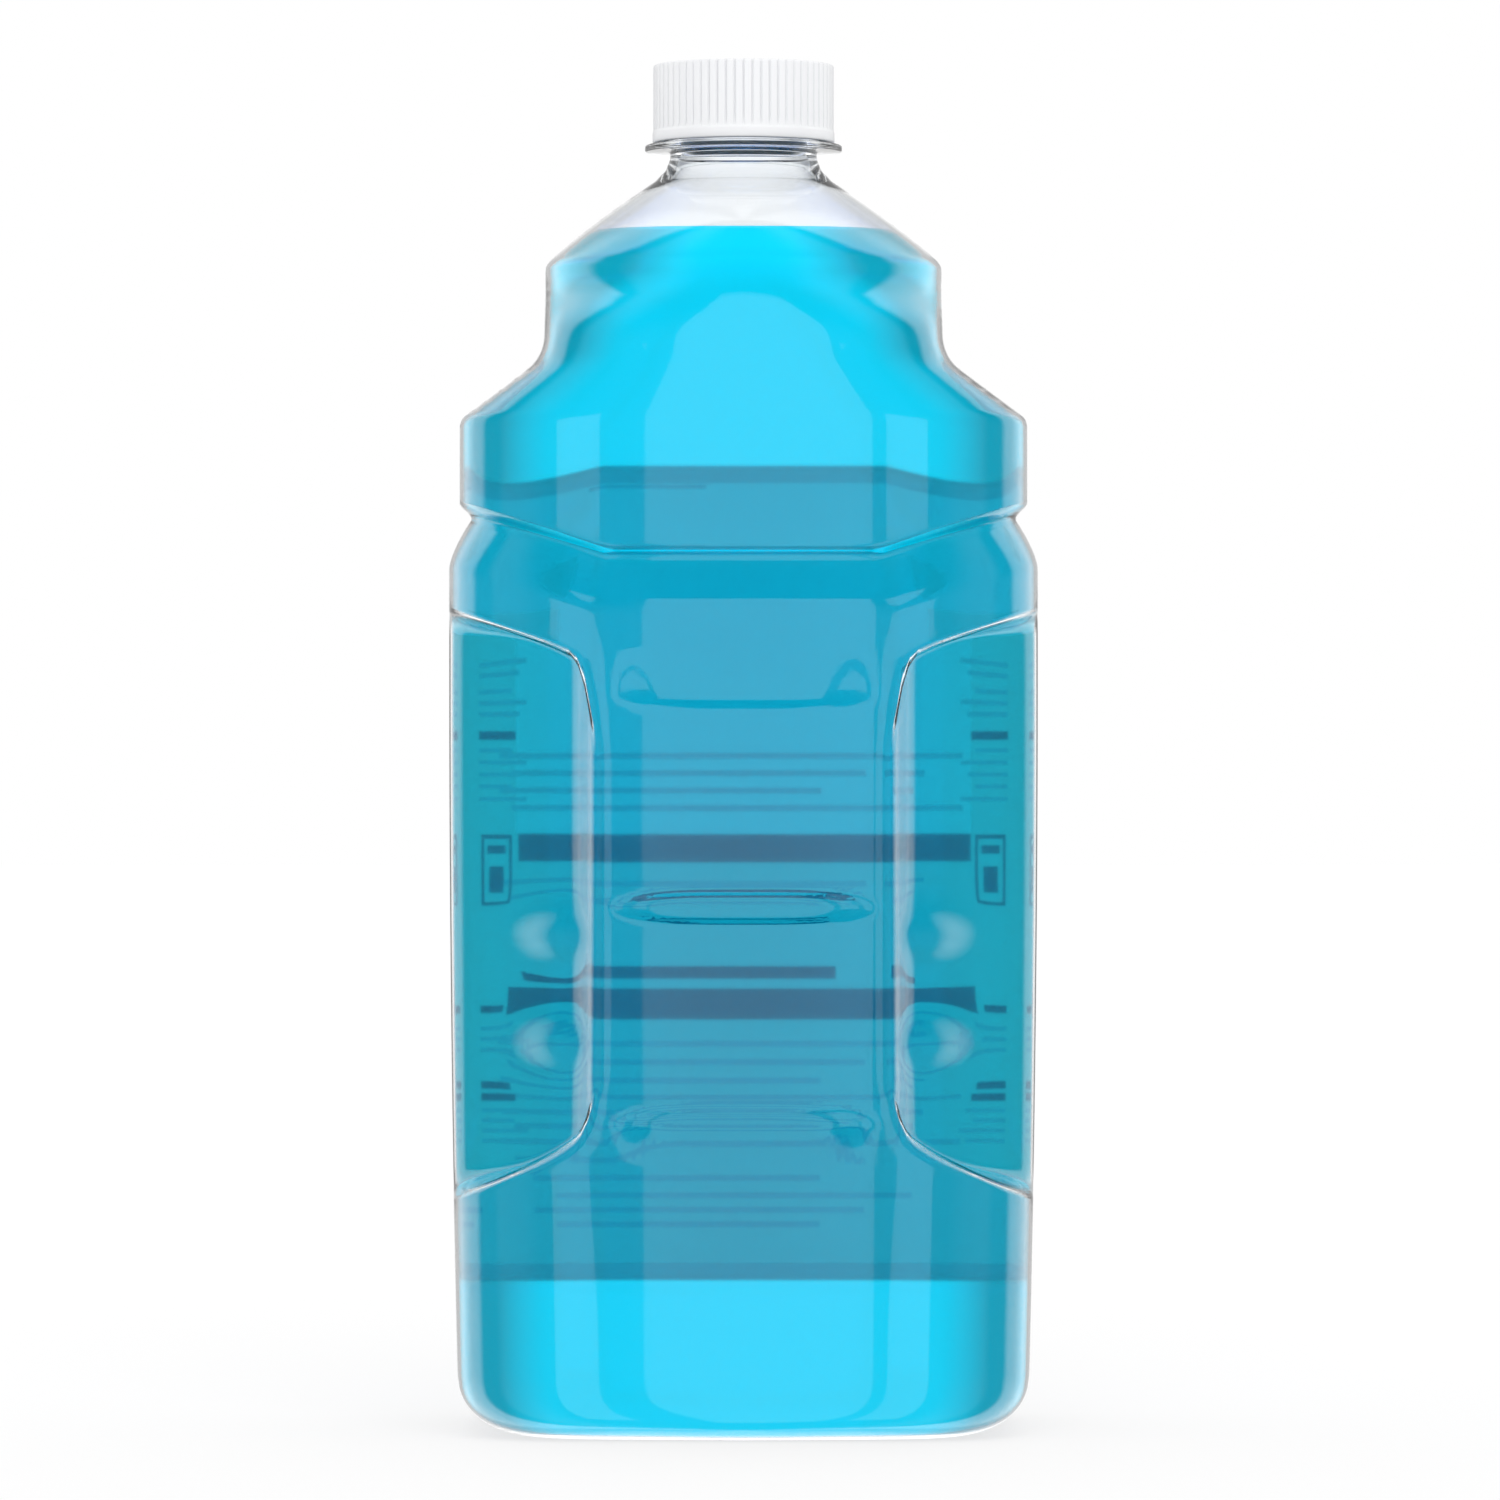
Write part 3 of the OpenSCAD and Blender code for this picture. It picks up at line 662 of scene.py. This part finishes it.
# water with dye: it bends light less than PET, and a little roughness stands for the blur of a deep liquid
cleaner = material("cyan cleaner", Base_Color=WHITE, Roughness=0.12, IOR=1.333, Transmission_Weight=1.0)
dye = cleaner.node_tree
tint = add(dye, "ShaderNodeVolumeAbsorption", None, {"Color": DYE_LETS_THROUGH, "Density": DYE_DENSITY})
dye.links.new(tint.outputs[0], found(dye, "OUTPUT_MATERIAL").inputs["Volume"])
liquid = mesh_piece("liquid", points, faces, [cleaner])
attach(liquid, "bottle_body")
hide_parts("liquid")
print("liquid:", len(faces), "faces, level at", FILL_Z, "mm")

# %% [markdown]
# ## Label film and inks
# A printed film wraps the front and runs round both front corners. Its back shows through the liquid. A
# film this thin lets light pass and scatters it, so the backing and the inks have subsurface
# scattering, over a shorter way under ink and in the edge strips. The edge strips are darker than the
# backing: the top one is painted shade, for the dark band at the ring groove. The front is coated and
# a little glossier.

# %% Label materials
INK_RADIUS = (1, 1, 1)


def ink(name, hex_colour, reach):
    """A matt ink or backing that light passes through; reach is how far it spreads, in metres."""
    return material(name, Base_Color=linear(hex_colour), Roughness=0.5, Subsurface_Weight=1.0,
                    Subsurface_Radius=INK_RADIUS, Subsurface_Scale=reach)


# coated polypropylene film: even fields of colour with a soft sheen
film_white = material("label film, white", Base_Color=linear("F4F6F8"), Roughness=0.35)
film_blue = material("label film, blue", Base_Color=linear("1C6FC4"), Roughness=0.3)
film_pale = material("label film, pale blue", Base_Color=linear("8CCBEA"), Roughness=0.3)
# bare backing, and backing that small print makes greyer on the whole
film_back = ink("label backing", "F2F4F6", 0.0018)
film_small = ink("label backing, small print", "B8B6B0", 0.0018)
# title bars, lines of print, and darker strips along both edges; the top strip is painted shade of the ring
# groove's dark band
film_navy = ink("label print, navy", "30364E", 0.0012)
film_grey = ink("label print, grey", "8C94A6", 0.0015)
film_edge_shade = ink("label edges, painted shade", "DDE3E8", 0.0008)
films = [film_white, film_blue, film_pale, film_back, film_navy, film_grey, film_edge_shade, film_small]
ON_WHITE, ON_BLUE, ON_PALE, ON_BACK, ON_NAVY, ON_GREY, ON_EDGE_SHADE, ON_SMALL = range(len(films))
print("label films and inks:", len(films))

# %% [markdown]
# ## Fields of print
# The print is drawn as plain shapes. On the back, bars stand for titles, rules for lines, a tint for
# small print and a frame with two blocks for a boxed sign. The front has plain fields. Each is a box on
# the unrolled film: across from the middle, then up, both in millimetres. The columns of print that
# show in the grips are mirrored from one side to the other.

# %% Fields on the back and front of the film
LABEL_TOP = GROOVE_Z - 0.5
BAR_TOP = 121.4
BEYOND = 200  # further across than the film reaches
RULE_H = 1.2
FINE_RULE = 0.45  # half height of the fine rules seen in the grips
# the upper strip is painted shade of the ring groove's dark band; the lower one is the same darker ink
LOW_STRIP = 4.4  # height of the strips along the lower and upper edge
TOP_SHADE_STRIP = 3.6
FRAME_OUT, FRAME_IN = -44.5, -37
FRAME_LOW, FRAME_TOP = 106.4, 121.2


def both_sides(boxes):
    """Boxes and their mirror images."""
    return boxes + [(-q, -p, low, high) for p, q, low, high in boxes]


frame_lines = [
    (FRAME_OUT, FRAME_IN, 120.3, FRAME_TOP),
    (FRAME_OUT, FRAME_IN, FRAME_LOW, 107.1),
    (FRAME_OUT, -43.8, FRAME_LOW, FRAME_TOP),
    (-37.7, FRAME_IN, FRAME_LOW, FRAME_TOP),
    (-43, -38.5, 117.2, 119),
    (-42.6, -39, 109, 114.6),
]
side_titles = [
    (-45, -36, 140.9, 142.7),
    (-45, -39, 84, 85.6),
    (-45, -37.5, 68.3, 69.9),
    (-45, -36.5, 65.8, 67.4),
]
back_bars = [(-35.5, 36, 115.6, BAR_TOP), (-38, 37, 83.2, 89.6), (-34, 19, 91.6, 94.2)]
back_bars += both_sides(side_titles + frame_lines)

side_lines = [155, 153, 150, 148, 146, 138.7, 136.2, 133.7, 131.2, 128.6]
side_lines += [80.8, 78.6, 76.4, 63.8, 61.7, 59.6, 57.5]
back_lines = [137, 133.4, 129.8, 126.2, 110.6, 107, 77.6, 73.8, 70, 66.4, 63, 60]
back_lines += [56.8, 53.2, 49.6, 46, 43, 40]
back_rules = [(-40 + 3 * (k % 2), 34 - 9 * (k % 3), z, z + RULE_H) for k, z in enumerate(back_lines)]
back_rules += [(-32, -8, 184.4, 185.2), (-18, -8, 185.9, 186.4)]
back_rules += both_sides([(-45, -33.5 - 1.7 * (k % 3), z - FINE_RULE, z + FINE_RULE)
                          for k, z in enumerate(side_lines)])

front_white = [(-36, 36, 60, 142)]
front_pale = [(-70, 70, 46, 52), (-70, 70, 150, 154), (-26, 26, 72, 80), (-26, 26, 86, 90)]
small_print = [(-36, 36, LABEL_LOW, BAR_TOP)] + both_sides([(-BEYOND, -36, LABEL_LOW, GRIP_TOP)])
# darker strips along both edges of the film; the top one paints the shade of the ring groove
edge_shade_strips = [(-BEYOND, BEYOND, LABEL_LOW, LABEL_LOW + LOW_STRIP)]
edge_shade_strips += [(-BEYOND, BEYOND, LABEL_TOP - TOP_SHADE_STRIP, LABEL_TOP)]
print("fields on the back:", len(back_bars), "bars and", len(back_rules), "rules")
print("fields on the front:", len(front_white + front_pale))

# %% [markdown]
# ## The film itself
# An image texture would be the usual way to print a label. Here the film is a fine grid instead, with a
# grid line along each edge of a bar, a rule or a front field, and each face takes the ink of the field
# it lies in. So the edges of the print are exact, and it needs no picture.

# %% Grid of the film
LABEL_T = 0.15
GLUE = 0.04  # the film stands this far off its panel
PRINT_Z = 110.0  # height at which the film is measured round the bottle
SPAN_STEPS = 721
FILM_COLUMNS = 131  # grid lines apart from those along the print
FILM_ROWS = 90

span_deg = np.linspace(lean(PANEL_FULL), 360 - lean(PANEL_FULL), SPAN_STEPS)
span = np.radians(span_deg)
middle_r = skin_r(span, np.full(SPAN_STEPS, PRINT_Z))
step = np.hypot(np.diff(middle_r * np.sin(span)), np.diff(middle_r * np.cos(span)))
across = np.concatenate([[0], np.cumsum(step)])
across = -(across - across[-1] / 2)
half_wrap = across[0]

fields = back_bars + back_rules + front_white + front_pale
edges_across = np.array(sorted({round(c, 3) for f in fields for c in f[:2] if abs(c) < half_wrap}))
cuts = np.unique(np.concatenate([np.linspace(-half_wrap, half_wrap, FILM_COLUMNS), edges_across]))
edges_up = np.array(sorted({round(z, 3) for f in fields for z in f[2:]}))
levels = np.unique(np.concatenate([np.linspace(LABEL_LOW, LABEL_TOP, FILM_ROWS), edges_up]))
film_phi = np.radians(np.interp(-cuts, -across, span_deg))
glue_side = skin_points(film_phi, levels, GLUE)
print_side = skin_points(film_phi, levels, GLUE + LABEL_T)
n, m = len(levels), len(cuts)
print("label: wraps", round(abs(across[-1] - across[0]), 1), "mm, grid", n, "by", m)

# %% Faces and inks of the film
grid = np.arange(n * m).reshape(n, m)
low, low_next = grid[:-1, :-1], grid[:-1, 1:]
top_next, top = grid[1:, 1:], grid[1:, :-1]
front_faces = np.stack([low, top, top_next, low_next], -1).reshape(-1, 4)
back_faces = front_faces[:, ::-1]
rim = np.concatenate([grid[0, :-1], grid[:-1, -1], grid[-1, :0:-1], grid[:0:-1, 0]])
rim_next = np.roll(rim, -1)
rim_faces = np.stack([rim + n * m, rim_next + n * m, rim_next, rim], -1)
points = np.concatenate([glue_side.reshape(-1, 3), print_side.reshape(-1, 3)])
faces = np.concatenate([front_faces + n * m, back_faces, rim_faces]).tolist()
mid_s = np.broadcast_to((cuts[:-1] + cuts[1:]) / 2, (n - 1, m - 1)).reshape(-1)
mid_z = np.broadcast_to(((levels[:-1] + levels[1:]) / 2)[:, None], (n - 1, m - 1)).reshape(-1)


def inside_any(boxes):
    """Which faces of the film lie in any of the boxes."""
    return np.any([(mid_s > p) & (mid_s < q) & (mid_z > lo) & (mid_z < hi) for p, q, lo, hi in boxes], axis=0)


def inked(ground, layers):
    """Ink of each face: the ground, then each layer of boxes over it."""
    index = np.full(len(mid_s), ground)
    for boxes, colour in layers:
        index = np.where(inside_any(boxes), colour, index)
    return index


front_index = inked(ON_BLUE, [(front_white, ON_WHITE), (front_pale, ON_PALE)])
back_layers = [(small_print, ON_SMALL), (back_rules, ON_GREY), (back_bars, ON_NAVY), (edge_shade_strips, ON_EDGE_SHADE)]
back_index = inked(ON_BACK, back_layers)
indices = np.concatenate([front_index, back_index, np.full(len(rim_faces), ON_WHITE)])
label = mesh_piece("label", points, faces, films, indices)
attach(label, "bottle_body")
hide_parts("label")
print("label:", len(faces), "faces")

# %% [markdown]
# ## Cap
# The cap is moulded in one piece, with fine finger grooves and a plain bead at the foot. Its grooves
# have soft edges, as moulded ones do. An array of cut boxes would leave sharp ones, so the skirt is
# turned with many columns and each groove is a dip in its radius. Inside runs the thread that climbs on
# the neck's, half a pitch away.

# %% Cap profile
CAP_R = 18.5
CAP_BORE = 17.25
BEAD_H = 2.4
RIB_COUNT = 64
RIB_DEPTH = 0.55
RIB_W = 0.5
RIB_COLUMNS = 14  # columns for each groove
RIB_FLAT = 0.12  # shares of a groove's width: half its floor, and a flank
RIB_FLANK = 0.4
RIB_RUN_OUT = 0.6  # share of a groove's depth left on the top edge
BEAD_EDGE = 0.35  # rounding of the bead's foot, and how far the bead stands out
BEAD_OUT = 0.15
CAP_EDGE = 0.45  # rounding of the top edge
CAP_THREAD_H = 0.95
CAP_THREAD_HALF_W = 0.9
SKIRT_Z = RING_TOP + 0.45
ROOF_Z = MOUTH_Z + 1.0
CAP_TOP = ROOF_Z + 1.5
BEAD_TOP = SKIRT_Z + BEAD_H
cap_phi = np.radians(np.arange(RIB_COUNT * RIB_COLUMNS) * 360 / (RIB_COUNT * RIB_COLUMNS))


def finger_groove(angle, z):
    """Dip of the finger grooves, which start above the bead."""
    pitch = 2 * np.pi / RIB_COUNT
    off = np.abs((angle + pitch / 2) % pitch - pitch / 2) * CAP_R
    shape = 1 - ease((off - RIB_W * RIB_FLAT) / (RIB_W * RIB_FLANK))
    up = ease((z - SKIRT_Z - BEAD_H - 0.1) / 0.5)
    return -RIB_DEPTH * shape * up


def groove_end(angle, z):
    """The grooves as they run out over the rounded top edge."""
    return finger_groove(angle, z) * RIB_RUN_OUT


def cap_thread(angle, z):
    """The ridge inside the cap, in millimetres."""
    return -CAP_THREAD_H * thread_ridge(angle, z, CAP_THREAD_HALF_W, THREAD_LOW + PITCH / 2)


outer = arc(CAP_R - 0.2, SKIRT_Z + BEAD_EDGE, BEAD_EDGE, -90, 0, 5)
outer += [(CAP_R + BEAD_OUT, BEAD_TOP - 0.5), (CAP_R + 0.13, BEAD_TOP - 0.25), (CAP_R + 0.02, BEAD_TOP)]
outer += [(CAP_R, z) for z in np.linspace(BEAD_TOP + 0.12, CAP_TOP - 0.5, 14)]
outer += arc(CAP_R - CAP_EDGE, CAP_TOP - CAP_EDGE, CAP_EDGE, 10, 80, 5)
top_edge = [(CAP_R - 0.6, CAP_TOP), (CAP_R - 1.2, CAP_TOP)]
top_flat = [(r, CAP_TOP) for r in (CAP_R - 3, 8, 2)]
roof = [(r, ROOF_Z) for r in (2, 8, CAP_BORE - 0.4)]
bore = [(CAP_BORE, z) for z in np.linspace(ROOF_Z - 0.4, SKIRT_Z + 0.8, 44)]
foot = [(CAP_BORE + 0.02, SKIRT_Z + 0.5), (CAP_BORE + 0.3, SKIRT_Z + 0.02), (CAP_R - 0.5, SKIRT_Z)]
print("cap: skirt from", round(SKIRT_Z, 2), "to", round(CAP_TOP, 2), "mm,", RIB_COUNT, "grooves")

# %% Cap mesh
cap_rows = np.concatenate([
    turned(outer, cap_phi, finger_groove),
    turned(top_edge, cap_phi, groove_end),
    turned(top_flat + roof, cap_phi),
    turned(bore, cap_phi, cap_thread),
    turned(foot, cap_phi),
])
n, m, _ = cap_rows.shape
j, i = np.meshgrid(np.arange(n), np.arange(m), indexing="ij")
here, beside = j * m + i, j * m + (i + 1) % m
over, over_beside = (j + 1) % n * m + i, (j + 1) % n * m + (i + 1) % m
quads = np.stack([here, beside, over_beside, over], -1)
top_end = len(outer + top_edge + top_flat) - 1
kept_rows = [k for k in range(n) if k != top_end]
faces = quads[kept_rows].reshape(-1, 4).tolist()
points = np.vstack([cap_rows.reshape(-1, 3), [[0, 0, CAP_TOP]], [[0, 0, ROOF_Z]]])
faces += [[top_end * m + i, top_end * m + (i + 1) % m, n * m] for i in range(m)]
faces += [[n * m + 1, (top_end + 1) * m + (i + 1) % m, (top_end + 1) * m + i] for i in range(m)]

# moulded polypropylene: an even white with a soft, waxy gloss
white_pp = material("white polypropylene", Base_Color=linear("EEEFF1"), Roughness=0.32, IOR=1.49)
cap = mesh_piece("cap", points, faces, [white_pp])
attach(cap, "screw_cap")
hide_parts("cap")
print("cap:", len(cap.data.polygons), "faces")

# %% [markdown]
# ## Sealing disc
# A disc of foam in the cap's roof closes the mouth and lifts with the cap. It is hidden in the closed
# cap, so a plain disc with chamfered edges is enough. A cylinder with a bevel modifier would do as
# well, but the turning function is at hand.

# %% Sealing disc
DISC_R = CAP_BORE - 0.4
disc_profile = [
    (CAP_BORE - 0.6, MOUTH_Z),
    (DISC_R, MOUTH_Z + 0.2),
    (DISC_R, ROOF_Z - 0.2),
    (CAP_BORE - 0.6, ROOF_Z),
]
points, faces = closed_rows(turned(disc_profile, PHI), [0, 0, MOUTH_Z], [0, 0, ROOF_Z])

# foamed polyethylene: dull, off-white and without gloss
foam = material("liner foam", Base_Color=linear("E6E5E0"), Roughness=0.8)
disc = mesh_piece("sealing_disc", points, faces, [foam])
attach(disc, "seal")
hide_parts("cap_liner")
print("sealing disc:", len(disc.data.polygons), "faces")

# %% [markdown]
# ## Softboxes and key light
# Three softboxes stand behind the camera, a tall one in the middle and a lower one on each side. They
# show as pale upright bands on the back panel. Lamps would light the bottle too, but they have no edge
# to mirror, so the softboxes are glowing panels. The key light for the white cap comes from above,
# behind the camera, and the bottle doesn't mirror it.

# %% Softboxes and key light
SOFTBOX_Y = -1.9  # metres, behind the camera
SOFTBOX_LOW = -4.0  # far below the floor, which mirrored and bent light passes
SOFTBOX_GLOW = 0.58
KEY_WAY = Vector((-0.08, 0.76, -0.62))  # down and away from the camera


def softbox(name, x0, x1, z1):
    """An upright softbox that faces the bottle and isn't seen by the camera."""
    glow = bpy.data.materials.new(name)
    glow.use_nodes = True
    glow.node_tree.nodes.clear()
    light = add(glow.node_tree, "ShaderNodeEmission", None, {"Color": WHITE, "Strength": SOFTBOX_GLOW})
    add(glow.node_tree, "ShaderNodeOutputMaterial", None, {"Surface": light.outputs[0]})
    mesh = bpy.data.meshes.new(name)
    low_corners = [(x0, SOFTBOX_Y, SOFTBOX_LOW), (x1, SOFTBOX_Y, SOFTBOX_LOW)]
    mesh.from_pydata(low_corners + [(x1, SOFTBOX_Y, z1), (x0, SOFTBOX_Y, z1)], [], [[3, 2, 1, 0]])
    mesh.materials.append(glow)
    piece = placed(name, mesh)
    piece.visible_camera = False


softbox("softbox_middle", x0=-0.079, x1=0.161, z1=1.5)
softbox("softbox_left", x0=-0.595, x1=-0.227, z1=0.36)
softbox("softbox_right", x0=0.222, x1=0.56, z1=0.36)

sun = bpy.data.lights.new("key", "SUN")
sun.energy = 1.06
sun.angle = math.radians(50)
key = placed("key", sun)
key.rotation_euler = KEY_WAY.to_track_quat("-Z", "Y").to_euler()
key.visible_glossy = False
key.visible_transmission = False
print("softboxes: 3, at", SOFTBOX_Y, "m; key light", sun.energy)

# %% [markdown]
# ## Floor
# The bottle stands on a white paper sweep. More light would turn the paper white, but it would bleach
# the cap as well. So what the camera sees of the paper is mostly a plain white, and a share of the lit
# paper is kept for the bottle's shadow.

# %% Floor
PAPER_WHITE = 0.72  # share of plain white in what the camera sees of the paper
FLOOR_HALF_W = 6  # metres
FLOOR_NEAR = -2.5
FLOOR_FAR = 8

# uncoated paper: matt, even and bright, with no sheen to mirror the bottle
floor_white = material("white paper sweep", Base_Color=linear("F7F7F7"), Roughness=0.9,
                       Emission_Color=WHITE, Emission_Strength=0.08)
paper = floor_white.node_tree
ray = add(paper, "ShaderNodeLightPath")
sheet = add(paper, "ShaderNodeEmission", None, {"Color": WHITE, "Strength": 1.0})
seen_white = add(paper, "ShaderNodeMath", {"operation": "MULTIPLY"},
                 {0: ray.outputs["Is Camera Ray"], 1: PAPER_WHITE})
lit = found(paper, "BSDF_PRINCIPLED")
both = add(paper, "ShaderNodeMixShader", None,
           {0: seen_white.outputs[0], 1: lit.outputs[0], 2: sheet.outputs[0]})
paper.links.new(both.outputs[0], found(paper, "OUTPUT_MATERIAL").inputs["Surface"])
mesh = bpy.data.meshes.new("floor")
near = [(-FLOOR_HALF_W, FLOOR_NEAR, 0), (FLOOR_HALF_W, FLOOR_NEAR, 0)]
far = [(FLOOR_HALF_W, FLOOR_FAR, 0), (-FLOOR_HALF_W, FLOOR_FAR, 0)]
mesh.from_pydata(near + far, [], [[0, 1, 2, 3]])
mesh.materials.append(floor_white)
floor = placed("floor", mesh)
floor.visible_glossy = False
floor.visible_transmission = False
print("floor:", PAPER_WHITE, "plain white to the camera")

# %% [markdown]
# ## Room
# What clear plastic looks like is what surrounds it: a white sweep behind the bottle and a darker room
# on the camera's side. Walls could be built for that. A world that depends only on direction does the
# same without casting shadows, and is easy to tune: one ramp runs round from behind the bottle to the
# camera, another from the floor to the ceiling.

# %% Room by direction
world = bpy.context.scene.world or bpy.data.worlds.new("studio")
bpy.context.scene.world = world
world.use_nodes = True
tree = world.node_tree
tree.nodes.clear()
rays = add(tree, "ShaderNodeLightPath")
way = add(tree, "ShaderNodeTexCoord")
axes = add(tree, "ShaderNodeSeparateXYZ", None, {0: way.outputs["Generated"]})
side = add(tree, "ShaderNodeMath", {"operation": "ABSOLUTE"}, {0: axes.outputs["X"]})
turn = add(tree, "ShaderNodeMath", {"operation": "ARCTAN2"}, {0: side.outputs[0], 1: axes.outputs["Y"]})
turn_share = add(tree, "ShaderNodeMath", {"operation": "DIVIDE"}, {0: turn.outputs[0], 1: math.pi})
height = add(tree, "ShaderNodeMath", {"operation": "MULTIPLY_ADD"}, {0: axes.outputs["Z"], 1: 0.5, 2: 0.5})

# strengths by degrees from straight behind the bottle, and by degrees above the horizon
ROUND_STOPS = [(0, 1.1), (4, 1.1), (12, 0.58), (24, 0.55), (38, 1.1), (84, 1.15), (95, 0.04), (112, 0.04),
               (126, 0.26), (148, 0.22), (166, 0.05), (180, 0.03)]
RISE_STOPS = [(-90, 1.2), (-14, 1.2), (-7, 1.0), (90, 1.0)]


def set_stops(ramp, stops):
    """Gives a ramp its stops, as (place from 0 to 1, strength) pairs."""
    for place, _ in stops[1:-1]:
        ramp.color_ramp.elements.new(place)
    for element, (place, strength) in zip(ramp.color_ramp.elements, stops):
        element.position = place
        element.color = (strength, strength, strength, 1)


sweep = add(tree, "ShaderNodeValToRGB", None, {"Fac": turn_share.outputs[0]})
set_stops(sweep, [(at / 180, strength) for at, strength in ROUND_STOPS])
rise = add(tree, "ShaderNodeValToRGB", None, {"Fac": height.outputs[0]})
set_stops(rise, [((math.sin(math.radians(at)) + 1) / 2, strength) for at, strength in RISE_STOPS])
print("room: strongest", max(s for _, s in ROUND_STOPS), "weakest", min(s for _, s in ROUND_STOPS))

# %% Room light and white background
EVEN_ROOM = 0.85  # strength of the room as a matt surface sees it

# a faint glow from below the horizon, which fades out higher up
low_glow = add(tree, "ShaderNodeMapRange", None, {
    "Value": axes.outputs["Z"],
    "From Min": -0.05,
    "From Max": 0.7,
    "To Min": 0.13,
    "To Max": 0.0,
})
shaped = add(tree, "ShaderNodeMath", {"operation": "MULTIPLY"},
             {0: sweep.outputs["Color"], 1: rise.outputs["Color"]})
around = add(tree, "ShaderNodeMath", {"operation": "MAXIMUM"}, {0: shaped.outputs[0], 1: low_glow.outputs[0]})
# light that has met a matt surface sees an even room, so the cap and the paper are lit softly
matt = add(tree, "ShaderNodeMath", {"operation": "GREATER_THAN"}, {0: rays.outputs["Diffuse Depth"], 1: 0.5})
room = add(tree, "ShaderNodeMix", {"data_type": "FLOAT"},
           {0: matt.outputs[0], 2: around.outputs[0], 3: EVEN_ROOM})
seen = add(tree, "ShaderNodeMix", {"data_type": "FLOAT"},
           {0: rays.outputs["Is Camera Ray"], 2: room.outputs[0], 3: 1.0})
back = add(tree, "ShaderNodeBackground", None, {"Color": WHITE, "Strength": seen.outputs[0]})
add(tree, "ShaderNodeOutputWorld", None, {"Surface": back.outputs[0]})
world.cycles.sampling_method = "NONE"
print("world nodes:", len(tree.nodes))

# %% [markdown]
# ## Camera
# The lens is long and level: the far and near edges of the cap's rim and of the liquid's level give its
# distance, about 1.64 m, and its height is about half the bottle's. The bottle stands a little left of
# the picture's middle. Light crosses many surfaces on its way through wall, film and liquid, so paths
# may be long.

# %% Camera
PICTURE_W = 1500  # pixels
BOTTLE_LEFT = 6.5  # pixels by which the bottle stands left of the middle
CAMERA_AWAY = 1.64  # metres
CAMERA_H = 0.1388
LONGEST_PATH = 48  # bounces

camera = bpy.data.cameras.new("camera")
camera.sensor_width = 36.0
camera.lens = 192.0
camera.shift_x = BOTTLE_LEFT / PICTURE_W
camera.clip_start, camera.clip_end = 0.05, 50.0
eye = placed("camera", camera)
eye.location = (0, -CAMERA_AWAY, CAMERA_H)
eye.rotation_euler = (math.pi / 2, 0, 0)
scene = bpy.context.scene
scene.camera = eye
scene.view_settings.view_transform = "Standard"
scene.cycles.max_bounces = LONGEST_PATH
scene.cycles.transmission_bounces = LONGEST_PATH
scene.cycles.glossy_bounces = 12
print("camera at", [round(c, 4) for c in eye.location], "lens", camera.lens)
